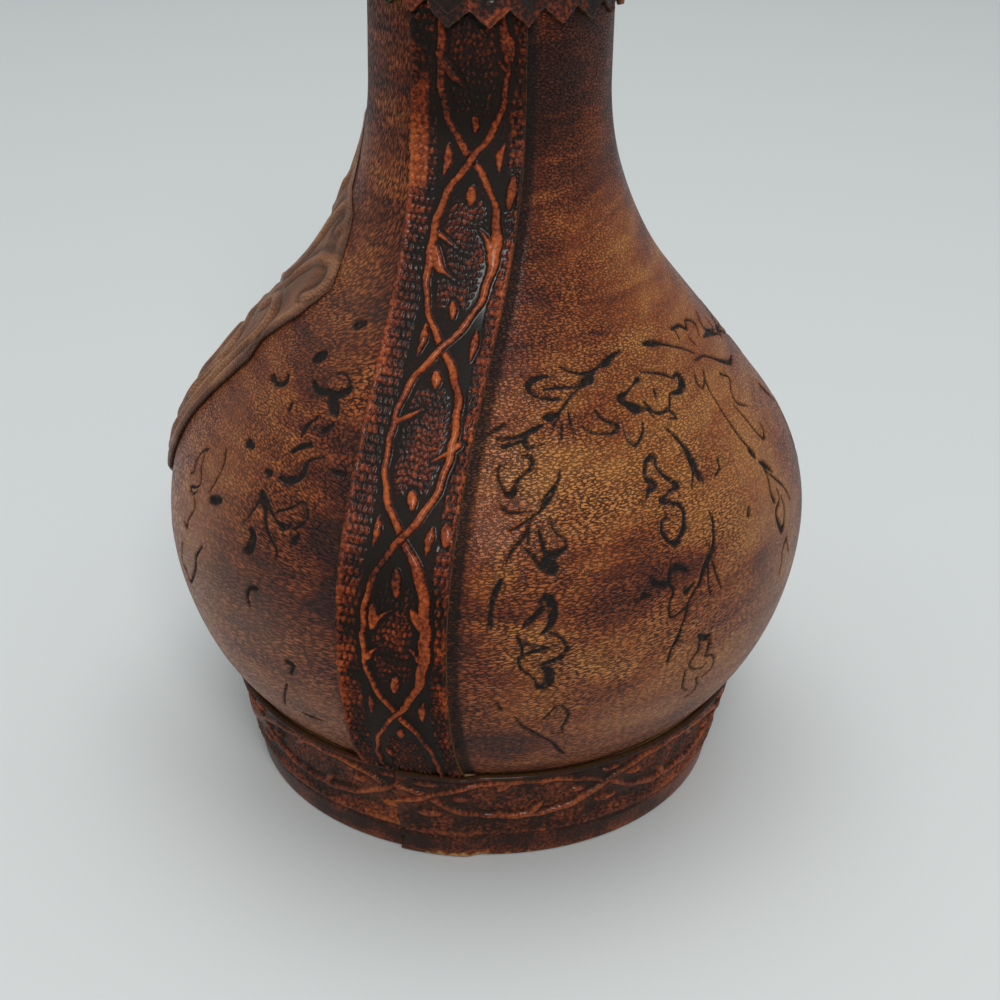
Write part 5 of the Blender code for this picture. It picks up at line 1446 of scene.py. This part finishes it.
LIP_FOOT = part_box("lip_ring")[0].z / MM
LIP_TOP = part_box("lip_ring")[1].z / MM
LIP_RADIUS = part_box("lip_ring")[1].x / MM
LIP_BORE = 21.5
LIP_LEAN = (0.6, 2.6)  # inwards at its lower edge, over this height
LIP_RING_ROUND = 1.3
ROLLED_COLOURS = ((0.28, PANEL_DEEP), (0.46, PANEL_RED), (0.66, PANEL_ORANGE))
ROLLED_PER_MM = 1.3


def rounded(corners, radius, steps):
    """A section with its corners rounded off. A corner is (radius, height)."""
    corners = np.asarray(corners, float)
    made = []
    for before, corner, after in zip(np.roll(corners, 1, 0), corners, np.roll(corners, -1, 0)):
        sides = before - corner, after - corner
        lengths = [np.hypot(*side) for side in sides]
        reach = min(radius, lengths[0] / 2.2, lengths[1] / 2.2)
        start, end = (corner + side / length * reach for side, length in zip(sides, lengths))
        for t in np.linspace(0.0, 1.0, steps):
            made.append((1 - t) ** 2 * start + 2 * t * (1 - t) * corner + t * t * end)
    return np.array(made)


def make_rolled_look(name):
    """Panel leather on a small turned piece. Its grain is laid out in space, so it has no seam."""
    look, tree, shader = new_finish(name, Coat_Weight=0.12, Coat_Roughness=0.28, Specular_IOR_Level=0.22)
    lay = mark(tree, "lay", "Vector")
    clouds = noise(tree, lay, 0.09, 5.0, 0.6, 0.6)
    pebbles = leather_pebbles(tree, lay, ROLLED_PER_MM, "3D")
    creased = soft_step(tree, pebbles, 0.0, 1.0, 0.14, 0.0)
    tone = weighted(tree, (creased, -1.0), (mark(tree, "ink"), -0.4), start=clouds)
    rough = soft_step(tree, pebbles, 0.0, 1.0, 0.60, 0.44)
    dress(tree, shader, Base_Color=colour_ramp(tree, tone, ROLLED_COLOURS), Roughness=rough)
    bump(tree, shader, weighted(tree, (noise(tree, lay, 3.5), 0.3), start=pebbles), 0.00018)
    return look


rolled_look = make_rolled_look("rolled_leather")
lip_corners = (
    (NECK_RADIUS + CLEARANCE, LIP_FOOT), (LIP_RADIUS - LIP_LEAN[0], LIP_FOOT),
    (LIP_RADIUS, LIP_FOOT + LIP_LEAN[1]), (LIP_RADIUS, LIP_TOP), (LIP_BORE, LIP_TOP),
    (LIP_BORE, MOUTH + CLEARANCE), (NECK_RADIUS + CLEARANCE, MOUTH + CLEARANCE),
)
lip_ring = turned("rolled_lip", rounded(lip_corners, LIP_RING_ROUND, 6), 160, rolled_look)
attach(lip_ring, "decanter")
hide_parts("lip_ring")

# Stopper cork and core
# A tapered natural cork on the tenon of a turned knob. The knob itself is hidden by its leather
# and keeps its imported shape.

CORK_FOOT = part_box("stopper_cork")[0].z / MM
CORK_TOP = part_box("stopper_cork")[1].z / MM
CORK_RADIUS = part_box("stopper_cork")[1].x / MM
CORK_TAPER = 1.4
CORK_CHAMFERS = (0.8, 0.5)  # below and above
TENON = 6.3
TENON_DEEP = 16.0
CORK_COLOURS = ((0.38, (0.27, 0.13, 0.06)), (0.52, (0.62, 0.41, 0.23)))


def make_cork_look(name):
    """Cork: pale and even, with dark pits and streaks."""
    look, tree, shader = new_finish(name, Roughness=0.85, Specular_IOR_Level=0.2)
    lay = mark(tree, "lay", "Vector")
    pits = noise(tree, stretch(tree, lay, (1.0, 1.0, 0.5)), 0.8, 5.0, 0.7)
    tone = weighted(tree, (pits, 0.8), (noise(tree, lay, 0.15), 0.3))
    dress(tree, shader, Base_Color=colour_ramp(tree, tone, CORK_COLOURS))
    bump(tree, shader, soft_step(tree, tone, 0.38, 0.56), 0.0005)
    return look


cork_section = [(0.0, CORK_FOOT), (CORK_RADIUS - CORK_TAPER - CORK_CHAMFERS[0], CORK_FOOT)]
for share in (0.03, 0.35, 0.7, 0.985):
    cork_side = CORK_RADIUS - CORK_TAPER * (1.0 - share)
    cork_section.append((cork_side, CORK_FOOT + (CORK_TOP - CORK_FOOT) * share))
cork_section += [(CORK_RADIUS - CORK_CHAMFERS[1], CORK_TOP), (TENON, CORK_TOP)]
cork_section += [(reach, CORK_TOP - TENON_DEEP - CLEARANCE) for reach in (TENON, 0.0)]
cork = turned("tapered_cork", cork_section, 96, make_cork_look("cork"))
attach(cork, "stopper")
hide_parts("stopper_cork")
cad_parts["stopper_core"].material_slots[0].material = wood_look

# Stopper washer
# A pinked disc of panel leather between the cork and the knob. It rests on the lip ring.

WASHER_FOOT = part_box("stopper_washer")[0].z / MM
WASHER_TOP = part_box("stopper_washer")[1].z / MM
WASHER_RADIUS = 30.0
WASHER_BORE = 0.215  # share of its radius
WASHER_TEETH = 24
WASHER_TOOTH = 2.4
WASHER_WAVE = 0.15


def pinked_disc(name, section, radius, teeth, tooth, faces_at, look, marks):
    """A disc with a zigzag edge. Its section is (share of the radius, share of the height) from the
    axis, over the top, round the edge and back. faces_at gives the heights of its underside and
    its top at a radius and an angle, and marks give their values at a share and an angle."""
    angle = np.linspace(0.0, 2.0 * math.pi, teeth * 10, endpoint=False)[:, None]
    notch = np.abs((angle * teeth / (2.0 * math.pi)) % 1.0 - 0.5) * 2.0
    share, side = np.array(section, float).T
    reach = radius * share - tooth * (1.0 - notch) * share**6
    low, high = faces_at(reach, angle)
    points = round_axis(reach, angle, low + (high - low) * side)
    index = np.arange(reach.size).reshape(reach.shape)
    made = {key: value(share, angle) + 0.0 * reach for key, value in marks.items()}
    faces = quads(index, np.roll(index, -1, 0), True)
    return make_piece(name, points * MM, faces, look, {**made, "lay": points})


def washer_faces(radius, angle):
    wave = WASHER_WAVE * np.sin(3.0 * angle + 1.0) * (radius / WASHER_RADIUS) ** 4
    return WASHER_FOOT, WASHER_TOP - 0.2 + wave


washer_section = [(share, 1.0) for share in np.linspace(WASHER_BORE, 0.985, 26)]
washer_section += [(0.996, 0.9), (1.0, 0.6), (1.0, 0.25), (0.995, 0.0)]
washer_section += [(share, 0.0) for share in np.linspace(0.98, WASHER_BORE, 6)]
washer = pinked_disc(
    "pinked_washer", washer_section, WASHER_RADIUS, WASHER_TEETH, WASHER_TOOTH, washer_faces, rolled_look,
    {"ink": lambda share, angle: 0.5 * ease(share, 0.90, 1.0)},
)
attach(washer, "stopper")
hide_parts("stopper_washer")

# Stopper covers
# Two caps of panel leather, moulded wet over the knob's lower and upper halves.

KNOB_RADIUS = 20.5
KNOB_NECK = 12.0
KNOB_LEATHER = 1.2
KNOB_CENTRE = 239.5
KNOB_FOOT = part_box("stopper_lower_cover")[0].z / MM
COVER_IN = KNOB_RADIUS + CLEARANCE
COVER_OUT = COVER_IN + KNOB_LEATHER


def ball(radius, start, end, count):
    """Points (radius, height) round the knob, between two angles above its middle."""
    angle = np.radians(np.linspace(start, end, count))
    return np.stack([radius * np.cos(angle), KNOB_CENTRE + radius * np.sin(angle)], -1).tolist()


def cup(radius, count):
    """One side of the lower cap, from the knob's neck up to just below its middle."""
    neck = KNOB_NECK + radius - KNOB_RADIUS
    return [(neck, KNOB_FOOT)] + ball(radius, -math.degrees(math.acos(neck / radius)), -0.5, count)


lower_section = cup(COVER_OUT, 28) + cup(COVER_IN, 12)[::-1]
lower_cover = turned("moulded_lower_cover", lower_section, 144, rolled_look)
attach(lower_cover, "stopper")
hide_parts("stopper_lower_cover")

upper_section = [(0.0, KNOB_CENTRE + COVER_IN)] + ball(COVER_IN, 89.0, 0.5, 12)
upper_section += ball(COVER_OUT, 0.5, 89.0, 40) + [(0.0, KNOB_CENTRE + COVER_OUT)]
upper_cover = turned("moulded_upper_cover", upper_section, 144, rolled_look)
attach(upper_cover, "stopper")
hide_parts("stopper_upper_cover")

# Stopper band
# A narrow strip of rolled leather over the joint of the two caps. Its vines are half the size.

KNOB_BAND_WIDTH = 13.0
KNOB_BAND_SCALE = 0.54
KNOB_BAND_GRID = 0.24
KNOB_BAND_FLOOR = 0.75
KNOB_BAND_RELIEF = 0.5


def make_knob_band(name, chance, look):
    inner = COVER_OUT + CLEARANCE
    across, on_face, depth = strip_section(KNOB_BAND_WIDTH, KNOB_BAND_GRID)
    around = 2.0 * math.pi * (inner + 1.0)
    length = np.linspace(0.0, around, round(around / KNOB_BAND_GRID), endpoint=False)
    y, x = np.meshgrid(length, across, indexing="ij")
    scale = around / round(around / (VINE_PERIOD * KNOB_BAND_SCALE)) / VINE_PERIOD
    half = KNOB_BAND_WIDTH / 2 / scale
    vines, tan = pressed_vines(x / scale, y / scale, -half, half, chance)
    out = inner + np.where(on_face, KNOB_BAND_FLOOR + KNOB_BAND_RELIEF * vines, 0.9 * (1.0 - depth))
    tilt = x / (inner + 0.6)
    points = round_axis(out * np.cos(tilt), y / around * 2.0 * math.pi, KNOB_CENTRE + out * np.sin(tilt))
    marks = {"lay": points, "tan": np.where(on_face, tan, 0.0), "bare": np.where(on_face, 0.0 * x, 0.25)}
    return closed_strip(name, points * MM, look, marks, ring=True)


knob_look = make_embossed_look("knob_leather", dimensions="3D")
knob_band = make_knob_band("rolled_knob_band", brick_chance, knob_look)
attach(knob_band, "stopper")
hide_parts("stopper_band")

# Stopper rosette
# A pinked disc of rolled leather on the top of the knob, pressed with eight petals.

ROSETTE_RADIUS = 11.0
ROSETTE_TEETH = 16
ROSETTE_TOOTH = 1.6
ROSETTE_FLOOR = 0.85
ROSETTE_RELIEF = 0.5
PETALS = 8
PETALS_IN = 2.6
PETAL_LENGTH = 6.4
PRESSED_WITHIN = 9.3


def petals(radius, angle):
    """Height of the pressed flower, from 0 to 1."""
    across = np.abs((angle * PETALS / (2.0 * math.pi)) % 1.0 - 0.5) * 2.0
    width = np.sin(np.clip((radius - PETALS_IN) / PETAL_LENGTH, 0.0, 1.0) * math.pi)
    petal = ease(width - across * 1.25, 0.0, 0.35) - 0.5 * ease(0.16 - across, 0.0, 0.1) * (width > 0.3)
    return np.maximum(np.maximum(petal, ease(2.2 - radius, 0.0, 0.5)), 0.0)


def rosette_faces(radius, angle):
    low = KNOB_CENTRE + np.sqrt((COVER_OUT + CLEARANCE) ** 2 - radius**2)
    return low, low + ROSETTE_FLOOR + ROSETTE_RELIEF * petals(radius, angle) * (radius < PRESSED_WITHIN)


rosette_section = [(share, 1.0) for share in np.linspace(0.012, 0.985, 54)]
rosette_section += [(1.0, 0.75), (1.0, 0.2), (0.99, 0.0)]
rosette_section += [(share, 0.0) for share in np.linspace(0.97, 0.012, 8)]
rosette = pinked_disc(
    "pinked_rosette", rosette_section, ROSETTE_RADIUS, ROSETTE_TEETH, ROSETTE_TOOTH, rosette_faces, knob_look,
    {
        "tan": lambda share, angle: 0.25 + 0.6 * petals(share * ROSETTE_RADIUS, angle),
        "bare": lambda share, angle: 0.3 * ease(share, 0.985, 1.0),
    },
)
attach(rosette, "stopper")
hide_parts("stopper_rosette")
